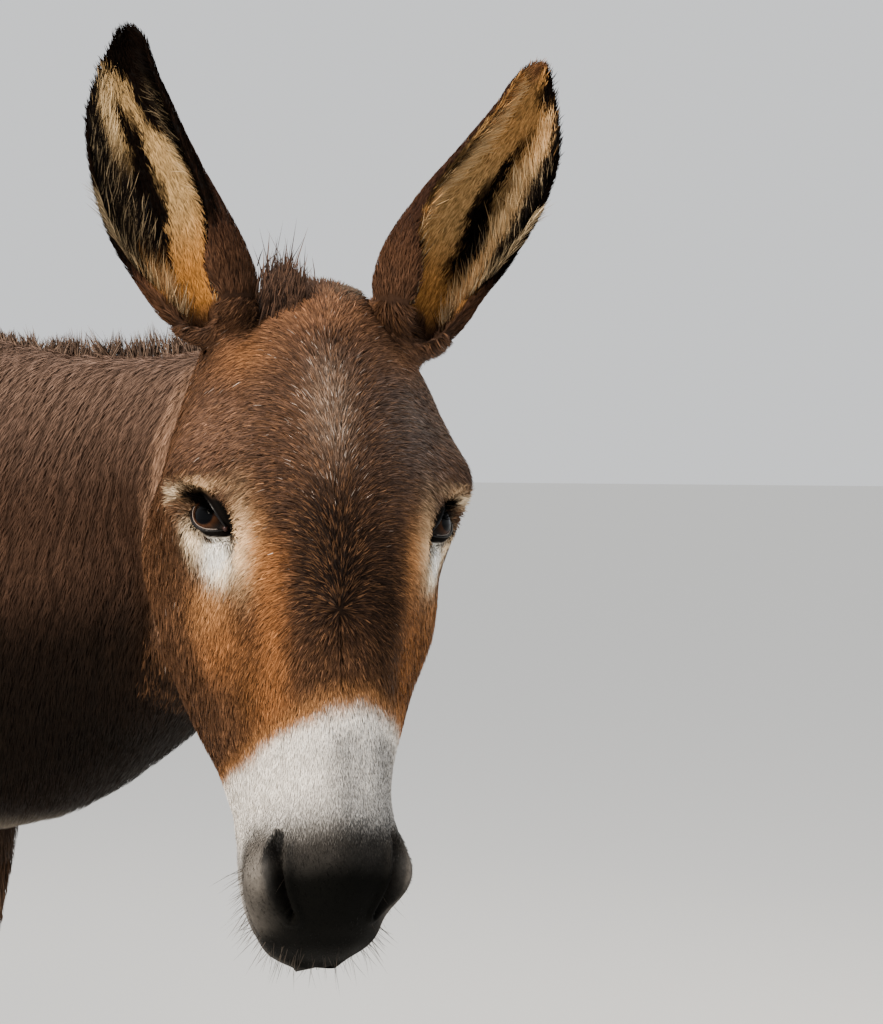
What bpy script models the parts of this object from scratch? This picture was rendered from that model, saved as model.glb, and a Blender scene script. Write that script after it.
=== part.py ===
"""A life-size standing donkey with its neck stretched forward and its head turned to its right.

Metres, +Z up. The donkey faces -Y, its left side is +X, and the floor is Z = 0.
The flesh is modelled whole from lofted forms, blended, and then parted with thin cuts.
"""

import math

import bmesh
import bpy
import numpy as np
from mathutils import Matrix, Vector

# Driving dimensions.
withers = 1.14  # floor to the top of the shoulders
headTurn = math.radians(51)  # from straight ahead, to the donkey's right
headDrop = math.radians(20)  # the head's long axis from the plumb line, nose forward
headTilt = math.radians(2.3)  # the lips swung to the donkey's right, about the forehead
poll = Vector((-0.165, -0.815, 1.105))  # top of the head, between the ears
eyeRadius = 0.0215
gap = 0.0003  # between pieces that touch
blendVoxel = 0.0045

# The head's own frame: X to its right, Y from poll to lips, Z out of the forehead.
facing = Vector((-math.sin(headTurn), -math.cos(headTurn), 0))
plumb = Vector((0, 0, -1))
headX = facing.cross(Vector((0, 0, 1)))
headY = plumb * math.cos(headDrop) + facing * math.sin(headDrop)
headZ = headX.cross(headY)
headFrame = Matrix.Translation(poll) @ Matrix((headX, headY, headZ)).transposed().to_4x4()
forehead = Matrix.Translation((0, 0.10, 0))
headFrame = headFrame @ forehead @ Matrix.Rotation(-headTilt, 4, "Z") @ forehead.inverted()


# ---------------------------------------------------------------- shape tools


def spline(*knots):
    """A smooth curve through (place, value) knots. A value may be a number or a point."""
    places = np.array([place for place, _ in knots], float)
    values = np.array([value for _, value in knots], float)
    slopes = np.gradient(values, places, axis=0)

    def at(place):
        place = np.clip(np.asarray(place, float), places[0], places[-1])
        i = np.clip(np.searchsorted(places, place, side="right") - 1, 0, len(places) - 2)
        width = places[i + 1] - places[i]
        u = (place - places[i]) / width
        if values.ndim > 1:
            u, width = u[..., None], width[..., None]
        start = (1 + 2 * u) * (1 - u) ** 2 * values[i] + u * (1 - u) ** 2 * width * slopes[i]
        end = u * u * (3 - 2 * u) * values[i + 1] + u * u * (u - 1) * width * slopes[i + 1]
        return start + end

    return at


def meshObject(name, points, faces):
    mesh = bpy.data.meshes.new(name)
    mesh.from_pydata([tuple(point) for point in points], [], faces)
    mesh.update()
    obj = bpy.data.objects.new(name, mesh)
    bpy.context.scene.collection.objects.link(obj)
    return obj


def closedLoft(name, rings):
    """A closed body through rings of equally many points, with a fan over each end."""
    rings = np.asarray(rings, float)
    count, around, _ = rings.shape
    points = list(rings.reshape(-1, 3)) + [rings[0].mean(0), rings[-1].mean(0)]
    first, last = count * around, count * around + 1
    faces = []
    for k in range(around):
        after = (k + 1) % around
        faces.append((first, after, k))
        faces.append((last, (count - 1) * around + k, (count - 1) * around + after))
        for ring in range(count - 1):
            low, high = ring * around, (ring + 1) * around
            faces.append((low + k, low + after, high + after, high + k))
    obj = meshObject(name, points, faces)
    mesh = bmesh.new()
    mesh.from_mesh(obj.data)
    bmesh.ops.recalc_face_normals(mesh, faces=mesh.faces)
    if mesh.calc_volume(signed=True) < 0:
        bmesh.ops.reverse_faces(mesh, faces=mesh.faces)
    mesh.to_mesh(obj.data)
    mesh.free()
    return obj


def ovalRing(top, bottom, side, halfWidth, pear=0.0, fullness=1.0, around=40):
    """A ring from its top and bottom points. Pear above 0 makes it wider low down."""
    top, bottom, side = (np.asarray(v, float) for v in (top, bottom, side))
    angle = np.arange(around) * 2 * math.pi / around
    cosine, sine = np.cos(angle), np.sin(angle)
    across = np.sign(sine) * np.abs(sine) ** fullness * halfWidth * (1 - pear * cosine)
    centre, up = (top + bottom) / 2, (top - bottom) / 2
    return centre + np.outer(cosine, up) + np.outer(across, side)


def ellipsoid(name, centre, radii, turn=(0, 0, 0)):
    mesh = bpy.data.meshes.new(name)
    ball = bmesh.new()
    bmesh.ops.create_icosphere(ball, subdivisions=4, radius=1)
    ball.to_mesh(mesh)
    ball.free()
    obj = bpy.data.objects.new(name, mesh)
    bpy.context.scene.collection.objects.link(obj)
    obj.location = centre
    obj.rotation_euler = [math.radians(a) for a in turn]
    obj.scale = radii
    return obj


def bake(obj):
    """Applies the object's modifiers and its place to its mesh."""
    bpy.context.view_layer.update()
    graph = bpy.context.evaluated_depsgraph_get()
    mesh = bpy.data.meshes.new_from_object(obj.evaluated_get(graph))
    mesh.transform(obj.matrix_world)
    obj.modifiers.clear()
    obj.data = mesh
    obj.matrix_world = Matrix.Identity(4)
    return obj


def joined(name, objects):
    """One object that holds all the shapes of several, which are removed."""
    whole = bmesh.new()
    for obj in objects:
        bake(obj)
        whole.from_mesh(obj.data)
        bpy.data.objects.remove(obj)
    mesh = bpy.data.meshes.new(name)
    whole.to_mesh(mesh)
    whole.free()
    obj = bpy.data.objects.new(name, mesh)
    bpy.context.scene.collection.objects.link(obj)
    return obj


def blended(obj, voxel, rounds):
    """Fuses the overlapping shapes of one object into a single smooth body."""
    remesh = obj.modifiers.new("fuse", "REMESH")
    remesh.mode = "VOXEL"
    remesh.voxel_size = voxel
    smooth = obj.modifiers.new("soften", "SMOOTH")
    smooth.factor = 0.5
    smooth.iterations = rounds
    return bake(obj)


def lightened(obj, triangles):
    """Fewer triangles, kept closest where the form turns most."""
    obj.data.calc_loop_triangles()
    decimate = obj.modifiers.new("lighten", "DECIMATE")
    decimate.ratio = min(1.0, triangles / len(obj.data.loop_triangles))
    return bake(obj)


def copyOf(obj, name):
    twin = obj.copy()
    twin.data = obj.data.copy()
    twin.name = name
    bpy.context.scene.collection.objects.link(twin)
    return twin


def cutAway(obj, point, normal, shy=gap / 2):
    """Removes what lies beyond the plane, and closes the cut."""
    normal = Vector(normal).normalized()
    mesh = bmesh.new()
    mesh.from_mesh(obj.data)
    everything = mesh.verts[:] + mesh.edges[:] + mesh.faces[:]
    bmesh.ops.bisect_plane(
        mesh,
        geom=everything,
        dist=1e-6,
        plane_co=Vector(point) - normal * shy,
        plane_no=normal,
        clear_outer=True,
    )
    bmesh.ops.dissolve_degenerate(mesh, dist=0.0008, edges=mesh.edges)
    rim = [edge for edge in mesh.edges if edge.is_boundary]
    bmesh.ops.holes_fill(mesh, edges=rim, sides=0)
    bmesh.ops.triangulate(mesh, faces=[face for face in mesh.faces if len(face.verts) > 4])
    mesh.to_mesh(obj.data)
    mesh.free()
    return obj


def looseParts(obj):
    """The separate bodies of an object as new objects. The object itself is removed."""
    mesh = bmesh.new()
    mesh.from_mesh(obj.data)
    unseen, parts = set(mesh.verts), []
    while unseen:
        group, edge = set(), {unseen.pop()}
        while edge:
            group |= edge
            edge = {e.other_vert(v) for v in edge for e in v.link_edges} - group
        unseen -= group
        parts.append({v.index for v in group})
    mesh.free()
    found = []
    for n, group in enumerate(parts):
        part = bmesh.new()
        part.from_mesh(obj.data)
        part.verts.ensure_lookup_table()
        bmesh.ops.delete(part, geom=[v for v in part.verts if v.index not in group], context="VERTS")
        twin = copyOf(obj, f"{obj.name}_{n}")
        part.to_mesh(twin.data)
        part.free()
        found.append(twin)
    bpy.data.objects.remove(obj)
    return found


def swollen(obj, by):
    """A cutter a little larger than the object, so that what it trims keeps a gap."""
    cutter = copyOf(obj, obj.name + "_cutter")
    mesh = bmesh.new()
    mesh.from_mesh(cutter.data)
    mesh.normal_update()
    moves = []
    for vertex in mesh.verts:  # the one move that takes every face around the vertex out by the gap
        faces = np.array([face.normal for face in vertex.link_faces])
        moves.append(Vector(np.linalg.pinv(faces, rcond=0.12) @ np.full(len(faces), by)))
    for vertex, move in zip(mesh.verts, moves):
        vertex.co += move
    mesh.to_mesh(cutter.data)
    mesh.free()
    return cutter


def subtract(obj, cutter):
    """Cuts one body out of another. A body that the exact solver loses is cut by the manifold one."""
    whole = obj.data.copy()
    for solver in ("EXACT", "MANIFOLD"):
        obj.data = whole.copy()
        difference = obj.modifiers.new("cut", "BOOLEAN")
        difference.operation = "DIFFERENCE"
        difference.object = cutter
        difference.solver = solver
        bake(obj)
        if len(obj.data.vertices) > 0:
            break


def trimmed(obj, neighbours):
    """Takes the neighbours out of the object, with the gap that touching pieces keep."""
    for neighbour in neighbours:
        cutter = swollen(neighbour, 1.7 * gap)
        subtract(obj, cutter)
        bpy.data.objects.remove(cutter)
    return largest(obj, obj.name)


def hump(points, centre, radii):
    """1 at the centre, falling smoothly to nothing about two radii away."""
    away = (points - np.asarray(centre)) / np.asarray(radii)
    return np.exp(-(away**2).sum(-1))


def nearestOnPath(points, path):
    """For each point, its distance to a path of points and how far along, from 0 to 1."""
    away = np.linalg.norm(points[:, None] - path[None], axis=2)
    nearest = away.argmin(1)
    return away[np.arange(len(points)), nearest], nearest / (len(path) - 1)


# ---------------------------------------------------------------------- head
# Places run from the poll (0) to the lips (0.49), in metres along the head's Y.

crownLine = spline(
    (-0.03, -0.020), (0.0, -0.003), (0.05, 0.010), (0.10, 0.017), (0.15, 0.019), (0.20, 0.013),
    (0.25, 0.004), (0.30, -0.003), (0.36, -0.010), (0.40, -0.015), (0.43, -0.024), (0.455, -0.038),
    (0.475, -0.060), (0.487, -0.083), (0.492, -0.104),
)
jawLine = spline(
    (-0.03, -0.145), (0.0, -0.165), (0.04, -0.205), (0.08, -0.232), (0.12, -0.240), (0.16, -0.232),
    (0.21, -0.220), (0.26, -0.204), (0.31, -0.182), (0.36, -0.160), (0.39, -0.151), (0.42, -0.155),
    (0.445, -0.155), (0.468, -0.144), (0.484, -0.128), (0.492, -0.112),
)
crownWidth = spline(
    (-0.03, 0.028), (0.0, 0.038), (0.04, 0.051), (0.09, 0.062), (0.14, 0.070), (0.18, 0.066),
    (0.22, 0.054), (0.26, 0.043), (0.31, 0.034), (0.36, 0.029), (0.40, 0.028), (0.44, 0.030),
    (0.465, 0.026), (0.482, 0.018), (0.492, 0.007),
)
crownDrop = spline(
    (-0.03, 0.012), (0.09, 0.010), (0.16, 0.013), (0.25, 0.011), (0.35, 0.010), (0.44, 0.012),
    (0.492, 0.003),
)
browWidth = spline(
    (-0.03, 0.058), (0.0, 0.070), (0.04, 0.086), (0.08, 0.097), (0.115, 0.107), (0.145, 0.113),
    (0.175, 0.105), (0.20, 0.0955), (0.25, 0.0835), (0.29, 0.0685), (0.33, 0.0535), (0.36, 0.047),
    (0.39, 0.047), (0.415, 0.053), (0.44, 0.057), (0.462, 0.051), (0.480, 0.036), (0.492, 0.012),
)
browHeight = spline(
    (-0.03, -0.060), (0.04, -0.048), (0.08, -0.040), (0.12, -0.034), (0.16, -0.038), (0.20, -0.048),
    (0.25, -0.053), (0.30, -0.052), (0.36, -0.048), (0.40, -0.050), (0.44, -0.062), (0.465, -0.078),
    (0.482, -0.095), (0.492, -0.107),
)
cheekWidth = spline(
    (-0.03, 0.060), (0.0, 0.070), (0.04, 0.084), (0.08, 0.096), (0.12, 0.104), (0.16, 0.106),
    (0.20, 0.105), (0.25, 0.097), (0.30, 0.083), (0.35, 0.065), (0.39, 0.054), (0.42, 0.053),
    (0.445, 0.051), (0.465, 0.044), (0.482, 0.031), (0.492, 0.011),
)
cheekHeight = spline(
    (-0.03, -0.100), (0.04, -0.122), (0.10, -0.134), (0.16, -0.134), (0.22, -0.124), (0.28, -0.114),
    (0.34, -0.102), (0.40, -0.096), (0.44, -0.103), (0.47, -0.107), (0.492, -0.109),
)
jawWidth = spline(
    (-0.03, 0.038), (0.0, 0.048), (0.04, 0.060), (0.08, 0.074), (0.12, 0.083), (0.16, 0.086),
    (0.21, 0.082), (0.26, 0.073), (0.31, 0.060), (0.36, 0.047), (0.39, 0.041), (0.42, 0.040),
    (0.445, 0.036), (0.468, 0.028), (0.484, 0.018), (0.492, 0.007),
)
jawRise = spline(
    (-0.03, 0.018), (0.08, 0.026), (0.16, 0.024), (0.30, 0.022), (0.42, 0.018), (0.47, 0.013),
    (0.492, 0.002),
)
chewShift = spline((0.08, 0.0), (0.20, 0.007), (0.30, 0.011), (0.38, 0.012), (0.492, 0.012))  # to the right

eyeCentre = np.array((0.0770, 0.171, -0.0375))  # of the right eye; the left one is mirrored
eyeOut = np.array((0.80, 0.06, 0.60)) / np.linalg.norm((0.80, 0.06, 0.60))
nostrilPath = spline(
    (0, (0.044, 0.406, -0.040)), (0.35, (0.046, 0.424, -0.046)), (0.7, (0.041, 0.443, -0.052)),
    (1, (0.031, 0.460, -0.058)),
)
mouthPath = spline(
    (0, (0.050, 0.385, -0.112)), (0.4, (0.053, 0.430, -0.122)), (0.75, (0.036, 0.470, -0.118)),
    (1, (0.0, 0.492, -0.110)),
)


def headRings(places, around):
    """The head's sections: a closed smooth line through ten points at each place."""
    zero = np.zeros_like(places)
    top, bottom = crownLine(places), jawLine(places)
    shift = chewShift(places)
    left = [
        (zero, top),
        (crownWidth(places), top - crownDrop(places)),
        (browWidth(places), browHeight(places)),
        (cheekWidth(places), cheekHeight(places)),
        (jawWidth(places), bottom + jawRise(places)),
        (zero, bottom),
    ]
    low = [0, 0, 0.1, 0.45, 1, 1]  # how much of the jaw's slide each point takes
    control = [(x + shift * s, z) for (x, z), s in zip(left, low)]
    control += [(-x + shift * s, z) for (x, z), s in zip(left[4:0:-1], low[4:0:-1])]
    control = np.array(control).transpose(2, 0, 1)  # place, point, (x, z)
    tangent = (np.roll(control, -1, 1) - np.roll(control, 1, 1)) / 2
    step = np.arange(around) * control.shape[1] / around
    i = step.astype(int)
    u = (step - i)[None, :, None]
    j = (i + 1) % control.shape[1]
    flat = (1 + 2 * u) * (1 - u) ** 2 * control[:, i] + u * (1 - u) ** 2 * tangent[:, i]
    flat = flat + u * u * (3 - 2 * u) * control[:, j] + u * u * (u - 1) * tangent[:, j]
    rings = np.empty((len(places), around, 3))
    rings[..., 0], rings[..., 2] = flat[..., 0], flat[..., 1]
    rings[..., 1] = places[:, None]
    return rings


def gridNormals(rings):
    """Outward normals of a ring surface."""
    along = np.gradient(rings, axis=0)
    across = np.roll(rings, -1, 1) - np.roll(rings, 1, 1)
    normal = np.cross(across, along)
    outward = rings - rings.mean(1, keepdims=True)
    normal *= np.sign((normal * outward).sum(-1, keepdims=True).mean())
    return normal / np.maximum(np.linalg.norm(normal, axis=-1, keepdims=True), 1e-12)


def headFeatures(rings):
    """Moves the plain head's surface to its brows, hollows, crests, nostrils and lips."""
    shape = rings.shape
    points = rings.reshape(-1, 3).copy()
    normals = gridNormals(rings).reshape(-1, 3)
    half = points.copy()
    half[:, 0] = np.abs(points[:, 0])
    push = np.zeros(len(points))
    push += 0.0060 * hump(half, (0.098, 0.136, -0.024), (0.026, 0.020, 0.024))  # brow over the eye
    push -= 0.0050 * hump(half, (0.074, 0.092, -0.004), (0.022, 0.026, 0.024))  # hollow behind the brow
    push -= 0.0160 * hump(half, eyeCentre + eyeOut * 0.02, (0.023, 0.022, 0.023))  # bed of the eye
    push -= 0.0020 * hump(half, (0.096, 0.200, -0.055), (0.03, 0.02, 0.022))  # fall below the eye
    push += 0.0040 * hump(half, (0.074, 0.262, -0.068), (0.03, 0.040, 0.012))  # facial crest
    push -= 0.0040 * hump(half, (0.060, 0.285, -0.030), (0.03, 0.050, 0.018))  # flat beside the nose
    push += 0.0050 * hump(half, (0.090, 0.165, -0.150), (0.04, 0.070, 0.045))  # cheek muscle
    push -= 0.0035 * hump(half, (0.064, 0.305, -0.120), (0.04, 0.040, 0.018))  # hollow ahead of it
    push += 0.0060 * hump(half, (0.058, 0.433, -0.055), (0.02, 0.026, 0.030))  # wing of the nostril
    push += 0.0030 * hump(half, (0.0, 0.440, -0.150), (0.03, 0.022, 0.02))  # chin
    push -= 0.0035 * hump(points, (-0.075, 0.285, -0.070), (0.03, 0.050, 0.04))  # left cheek drawn in
    points += normals * push[:, None]
    half[:, 0] = np.abs(points[:, 0])
    nostril = nostrilPath(np.linspace(0, 1, 25))
    away, along = nearestOnPath(half, nostril)
    mouthOfNostril = 0.0085 * np.sin(math.pi * np.clip(0.14 + 0.72 * (1 - along), 0, 1)) ** 0.7
    inside = np.clip(1 - (away / mouthOfNostril) ** 2, 0, 1)
    inward = np.array((-0.55, -0.75, -0.35))
    deep = np.outer(0.017 * inside**0.6, inward / np.linalg.norm(inward))
    deep[:, 0] *= np.sign(points[:, 0])
    points += deep
    mouth = mouthPath(np.linspace(0, 1, 40))
    away, along = nearestOnPath(half, mouth)
    points -= normals * (0.0055 * np.exp(-((away / 0.0035) ** 2)))[:, None]
    return points.reshape(shape)


def makeHead(along=180, around=160):
    """The whole head in world space, with the roots of its ears, still unblended."""
    share = np.linspace(0, 1, along)
    places = -0.015 + 0.507 * (share + 0.08 * np.sin(math.pi * share) * (share - 0.1))
    places = np.unique(np.clip(places, -0.015, 0.492))
    head = closedLoft("head_form", headFeatures(headRings(places, around)))
    forms = [head, earRoot("left"), earRoot("right")]
    for form in forms:
        bake(form)
        form.data.transform(headFrame)
    return forms


# ----------------------------------------------------------------------- ears

earLength = 0.273
earHalfWidth = spline(
    (0, 0.031), (0.12, 0.041), (0.28, 0.0460), (0.45, 0.0475), (0.62, 0.0450), (0.78, 0.0390),
    (0.88, 0.0315), (0.94, 0.0235), (0.98, 0.0145), (1, 0.007),
)
earWrap = spline((0, 160), (0.12, 145), (0.28, 112), (0.45, 92), (0.62, 84), (0.8, 76), (1, 60))  # half angle
earThickness = spline((0, 0.011), (0.3, 0.0085), (0.7, 0.0070), (1, 0.0040))
earBow = {  # outward bend along each ear
    "left": spline((0, 0), (0.2, -0.007), (0.4, 0.0), (0.6, 0.0085), (0.8, 0.0105), (1, -0.002)),
    "right": spline((0, 0), (0.2, 0.006), (0.5, 0.0205), (0.7, 0.0225), (0.85, 0.0185), (1, 0.001)),
}
earTip = {"left": 0.84, "right": 1.0}  # how full the ear is near its tip
# Base, tip and the way the opening looks, in the head's frame, for each side.
earPlaces = {
    "left": ((-0.064, 0.026, -0.030), (-0.194, -0.207, -0.011), (-0.22, 0.25, 0.93)),
    "right": ((0.064, 0.026, -0.030), (0.139, -0.239, -0.048), (0.64, 0.25, 0.72)),
}


def earAxes(side):
    base, tip, opening = (np.array(v, float) for v in earPlaces[side])
    up = (tip - base) / np.linalg.norm(tip - base)
    opening -= up * (opening @ up)
    opening /= np.linalg.norm(opening)
    return base, up, opening, np.cross(up, opening)


def earRings(side, along=17, arc=7):
    """Crescent sections that wrap nearly shut at the root and open towards the tip."""
    base, up, opening, across = earAxes(side)
    outward = 1 if across[0] * (1 if side == "right" else -1) > 0 else -1
    rings = []
    for t in np.linspace(0, 1, along):
        wrap = math.radians(float(earWrap(t)))
        radius = float(earHalfWidth(t)) / math.sin(min(wrap, math.pi / 2))
        radius *= 1 + (earTip[side] - 1) * t**4
        wall = min(float(earThickness(t)), radius * 0.5)
        angle = np.linspace(-wrap, wrap, arc)
        outer = np.stack([np.sin(angle), -np.cos(angle)], 1) * radius
        inner = np.stack([np.sin(angle), -np.cos(angle)], 1)[::-1] * (radius - wall)
        flat = np.concatenate([outer, inner])
        flat[:, 1] += radius * 0.35
        middle = base + up * earLength * t + across * outward * float(earBow[side](t))
        rings.append(middle + np.outer(flat[:, 0], across) + np.outer(flat[:, 1], opening))
    return rings


def earRoot(side):
    """The muscle and gristle that the ear stands on, as a short cone out of the skull."""
    base, up, opening, across = earAxes(side)
    angle = np.arange(40) * math.tau / 40
    circle = np.outer(np.cos(angle), across) + np.outer(np.sin(angle), opening)
    radius = spline((-0.055, 0.012), (-0.042, 0.029), (-0.015, 0.0335), (0.010, 0.028), (0.034, 0.018))
    rings = []
    for t in np.linspace(-0.055, 0.034, 24):
        rings.append(base - opening * 0.005 + up * t - opening * max(-t, 0) * 0.35 + circle * float(radius(t)))
    return closedLoft(f"ear_root_{side}", rings)


def makeEar(side):
    ear = closedLoft(f"ear_{side}", earRings(side))
    ear.data.transform(headFrame)
    return ear


# ----------------------------------------------------------------- neck, trunk

crestLine = spline(
    (0, (0.0, -0.19, 1.125)), (0.12, (0.0, -0.27, 1.125)), (0.28, (-0.003, -0.395, 1.093)),
    (0.48, (-0.022, -0.54, 1.068)), (0.68, (-0.065, -0.675, 1.070)),
    (0.85, (-0.115, -0.765, 1.082)), (1, (-0.150, -0.810, 1.088)),
)
throatLine = spline(
    (0, (0.0, -0.355, 0.635)), (0.12, (0.0, -0.41, 0.640)), (0.28, (0.0, -0.50, 0.662)),
    (0.48, (-0.010, -0.592, 0.718)), (0.68, (-0.042, -0.672, 0.782)),
    (0.85, (-0.080, -0.725, 0.832)), (1, (-0.100, -0.750, 0.866)),
)
neckWidth = spline(
    (0, 0.145), (0.12, 0.140), (0.28, 0.122), (0.48, 0.098), (0.68, 0.083), (0.85, 0.078), (1, 0.072)
)


def makeNeck(along=44):
    rings = []
    for t in np.linspace(0, 1, along):
        ahead = crestLine(min(t + 0.02, 1)) + throatLine(min(t + 0.02, 1))
        behind = crestLine(max(t - 0.02, 0)) + throatLine(max(t - 0.02, 0))
        upright = crestLine(t) - throatLine(t)
        side = np.cross(upright, ahead - behind)
        side /= np.linalg.norm(side)
        half = float(neckWidth(t))
        rings.append(ovalRing(crestLine(t), throatLine(t), side, half, 0.22, 0.85, 56))
    return closedLoft("neck_form", rings)


backLine = spline(
    (-0.500, 0.900), (-0.475, 0.970), (-0.415, 1.040), (-0.325, 1.105), (-0.225, withers),
    (-0.115, 1.118), (0.025, 1.088), (0.165, 1.088), (0.295, 1.112), (0.405, 1.118),
    (0.505, 1.078), (0.575, 1.010), (0.610, 0.930),
)
bellyLine = spline(
    (-0.500, 0.760), (-0.475, 0.700), (-0.415, 0.660), (-0.325, 0.640), (-0.225, 0.630),
    (-0.075, 0.618), (0.085, 0.617), (0.215, 0.637), (0.325, 0.678), (0.425, 0.700),
    (0.505, 0.730), (0.575, 0.790), (0.610, 0.850),
)
trunkWidth = spline(
    (-0.500, 0.060), (-0.475, 0.110), (-0.415, 0.150), (-0.325, 0.172), (-0.225, 0.185),
    (-0.075, 0.212), (0.085, 0.226), (0.215, 0.222), (0.325, 0.198), (0.425, 0.180),
    (0.505, 0.158), (0.575, 0.115), (0.610, 0.055),
)
trunkPear = spline((-0.50, 0.05), (-0.225, 0.30), (0.085, 0.20), (0.245, 0.10), (0.405, -0.05), (0.61, -0.05))


def makeTrunk():
    rings = []
    for y in np.linspace(-0.50, 0.61, 80):
        top, bottom = (0, y, float(backLine(y))), (0, y, float(bellyLine(y)))
        rings.append(ovalRing(top, bottom, (1, 0, 0), float(trunkWidth(y)), float(trunkPear(y)), 0.88, 64))
    muscles = [
        ("shoulder", (0.106, -0.300, 0.890), (0.054, 0.100, 0.190), (-22, 12, 0)),
        ("upper_arm", (0.122, -0.320, 0.735), (0.054, 0.100, 0.085), (20, 0, 0)),
        ("breast", (0.062, -0.430, 0.745), (0.070, 0.070, 0.085), (0, 0, 0)),
        ("croup", (0.098, 0.360, 0.985), (0.088, 0.185, 0.125), (8, 8, 0)),
        ("thigh", (0.112, 0.410, 0.815), (0.074, 0.145, 0.185), (10, 0, 0)),
        ("stifle", (0.118, 0.315, 0.705), (0.056, 0.072, 0.085), (25, 0, 0)),
        ("buttock", (0.092, 0.520, 0.870), (0.066, 0.070, 0.150), (-8, 0, 0)),
        ("hamstring", (0.108, 0.470, 0.725), (0.052, 0.060, 0.130), (-20, 0, 0)),
    ]
    forms = [closedLoft("trunk_form", rings)]
    for name, (x, y, z), radii, (pitch, roll, yaw) in muscles:
        for side in (1, -1):
            forms.append(ellipsoid(f"{name}_{side}", (side * x, y, z), radii, (pitch, -side * roll, yaw)))
    return forms


# ----------------------------------------------------------------------- legs
# A leg is a path of centres (y, z) with half lengths (along y) and half widths (along x).

foreLeg = [
    # z, y, half length, half width
    (0.800, -0.300, 0.078, 0.050), (0.700, -0.305, 0.078, 0.052), (0.620, -0.307, 0.066, 0.049),
    (0.540, -0.310, 0.053, 0.043), (0.460, -0.313, 0.042, 0.037), (0.390, -0.315, 0.0365, 0.0345),
    (0.335, -0.318, 0.0375, 0.0365), (0.290, -0.313, 0.0310, 0.0305), (0.240, -0.312, 0.0255, 0.0215),
    (0.180, -0.311, 0.0255, 0.0215), (0.130, -0.312, 0.0320, 0.0280), (0.100, -0.323, 0.0265, 0.0250),
    (0.075, -0.336, 0.0290, 0.0280), (0.055, -0.345, 0.0330, 0.0310), (0.040, -0.350, 0.0330, 0.0310),
]
hindLeg = [
    (0.800, 0.405, 0.125, 0.066), (0.700, 0.390, 0.110, 0.066), (0.630, 0.400, 0.086, 0.056),
    (0.560, 0.430, 0.064, 0.045), (0.500, 0.462, 0.049, 0.037), (0.450, 0.490, 0.0455, 0.033),
    (0.410, 0.503, 0.0450, 0.033), (0.365, 0.503, 0.0360, 0.0305), (0.310, 0.499, 0.0290, 0.0240),
    (0.230, 0.495, 0.0275, 0.0225), (0.150, 0.492, 0.0345, 0.0285), (0.115, 0.482, 0.0275, 0.0255),
    (0.085, 0.469, 0.0290, 0.0275), (0.058, 0.456, 0.0325, 0.0300), (0.040, 0.450, 0.0325, 0.0300),
]
legPlaces = {  # path, x at the elbow or stifle, x at the foot, shift of the foot along y
    "foreleg_left": (foreLeg, 0.112, 0.094, 0.060),
    "foreleg_right": (foreLeg, -0.112, -0.096, -0.015),
    "hindleg_left": (hindLeg, 0.118, 0.104, -0.045),
    "hindleg_right": (hindLeg, -0.118, -0.108, 0.035),
}
legTop = 0.62
legCut = 0.598  # the legs part from the trunk here, under the belly
coronetHeight = 0.064
coronetSlope = math.tan(math.radians(18))  # the coronet is higher in front


def legShape(name):
    """Centre (x, y), half length and half width of a leg at a height."""
    path, xTop, xFoot, stride = legPlaces[name]
    path = path[::-1]
    profile = spline(*[(z, (y, length, width)) for z, y, length, width in path])

    def at(z):
        y, length, width = profile(z)
        swing = min(max((legTop - z) / legTop, 0), 1)
        x = xTop + (xFoot - xTop) * min(swing * 1.4, 1)
        return x, y + stride * swing, length, width

    return at


def makeLeg(name):
    shape = legShape(name)
    angle = np.arange(32) * math.tau / 32
    rings = []
    for z in np.linspace(0.80, 0.040, 84):
        x, y, length, width = shape(z)
        ring = np.stack([x + width * np.sin(angle), y + length * np.cos(angle), np.full(32, z)], 1)
        rings.append(ring)
    forms = [closedLoft(name + "_form", rings)]
    if name.startswith("fore"):
        x, y, _, _ = shape(0.335)
        forms.append(ellipsoid("knee_cap", (x, y - 0.012, 0.337), (0.032, 0.030, 0.036)))
        forms.append(ellipsoid("knee_back", (x, y + 0.026, 0.318), (0.017, 0.016, 0.022)))
        x, y, _, _ = shape(0.66)
        forms.append(ellipsoid("elbow", (x, y + 0.050, 0.685), (0.032, 0.036, 0.060), (-14, 0, 0)))
    else:
        x, y, _, _ = shape(0.43)
        forms.append(ellipsoid("hock_point", (x, y + 0.034, 0.448), (0.0170, 0.019, 0.036)))
        x, y, _, _ = shape(0.52)
        forms.append(ellipsoid("hock_cord", (x, y + 0.054, 0.522), (0.0125, 0.0165, 0.095), (17, 0, 0)))
    x, y, _, _ = shape(0.13)
    forms.append(ellipsoid("fetlock_back", (x, y + 0.019, 0.126), (0.0185, 0.0175, 0.024)))
    x, y, _, _ = shape(0.2)
    forms.append(ellipsoid("tendon", (x, y + 0.017, 0.205), (0.0105, 0.0125, 0.085)))
    return forms


def coronet(name):
    """A point on the coronet's plane, and the plane's normal towards the hoof."""
    x, y, _, _ = legShape(name)(coronetHeight)
    return Vector((x, y, coronetHeight)), Vector((0, -coronetSlope, -1))


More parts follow.
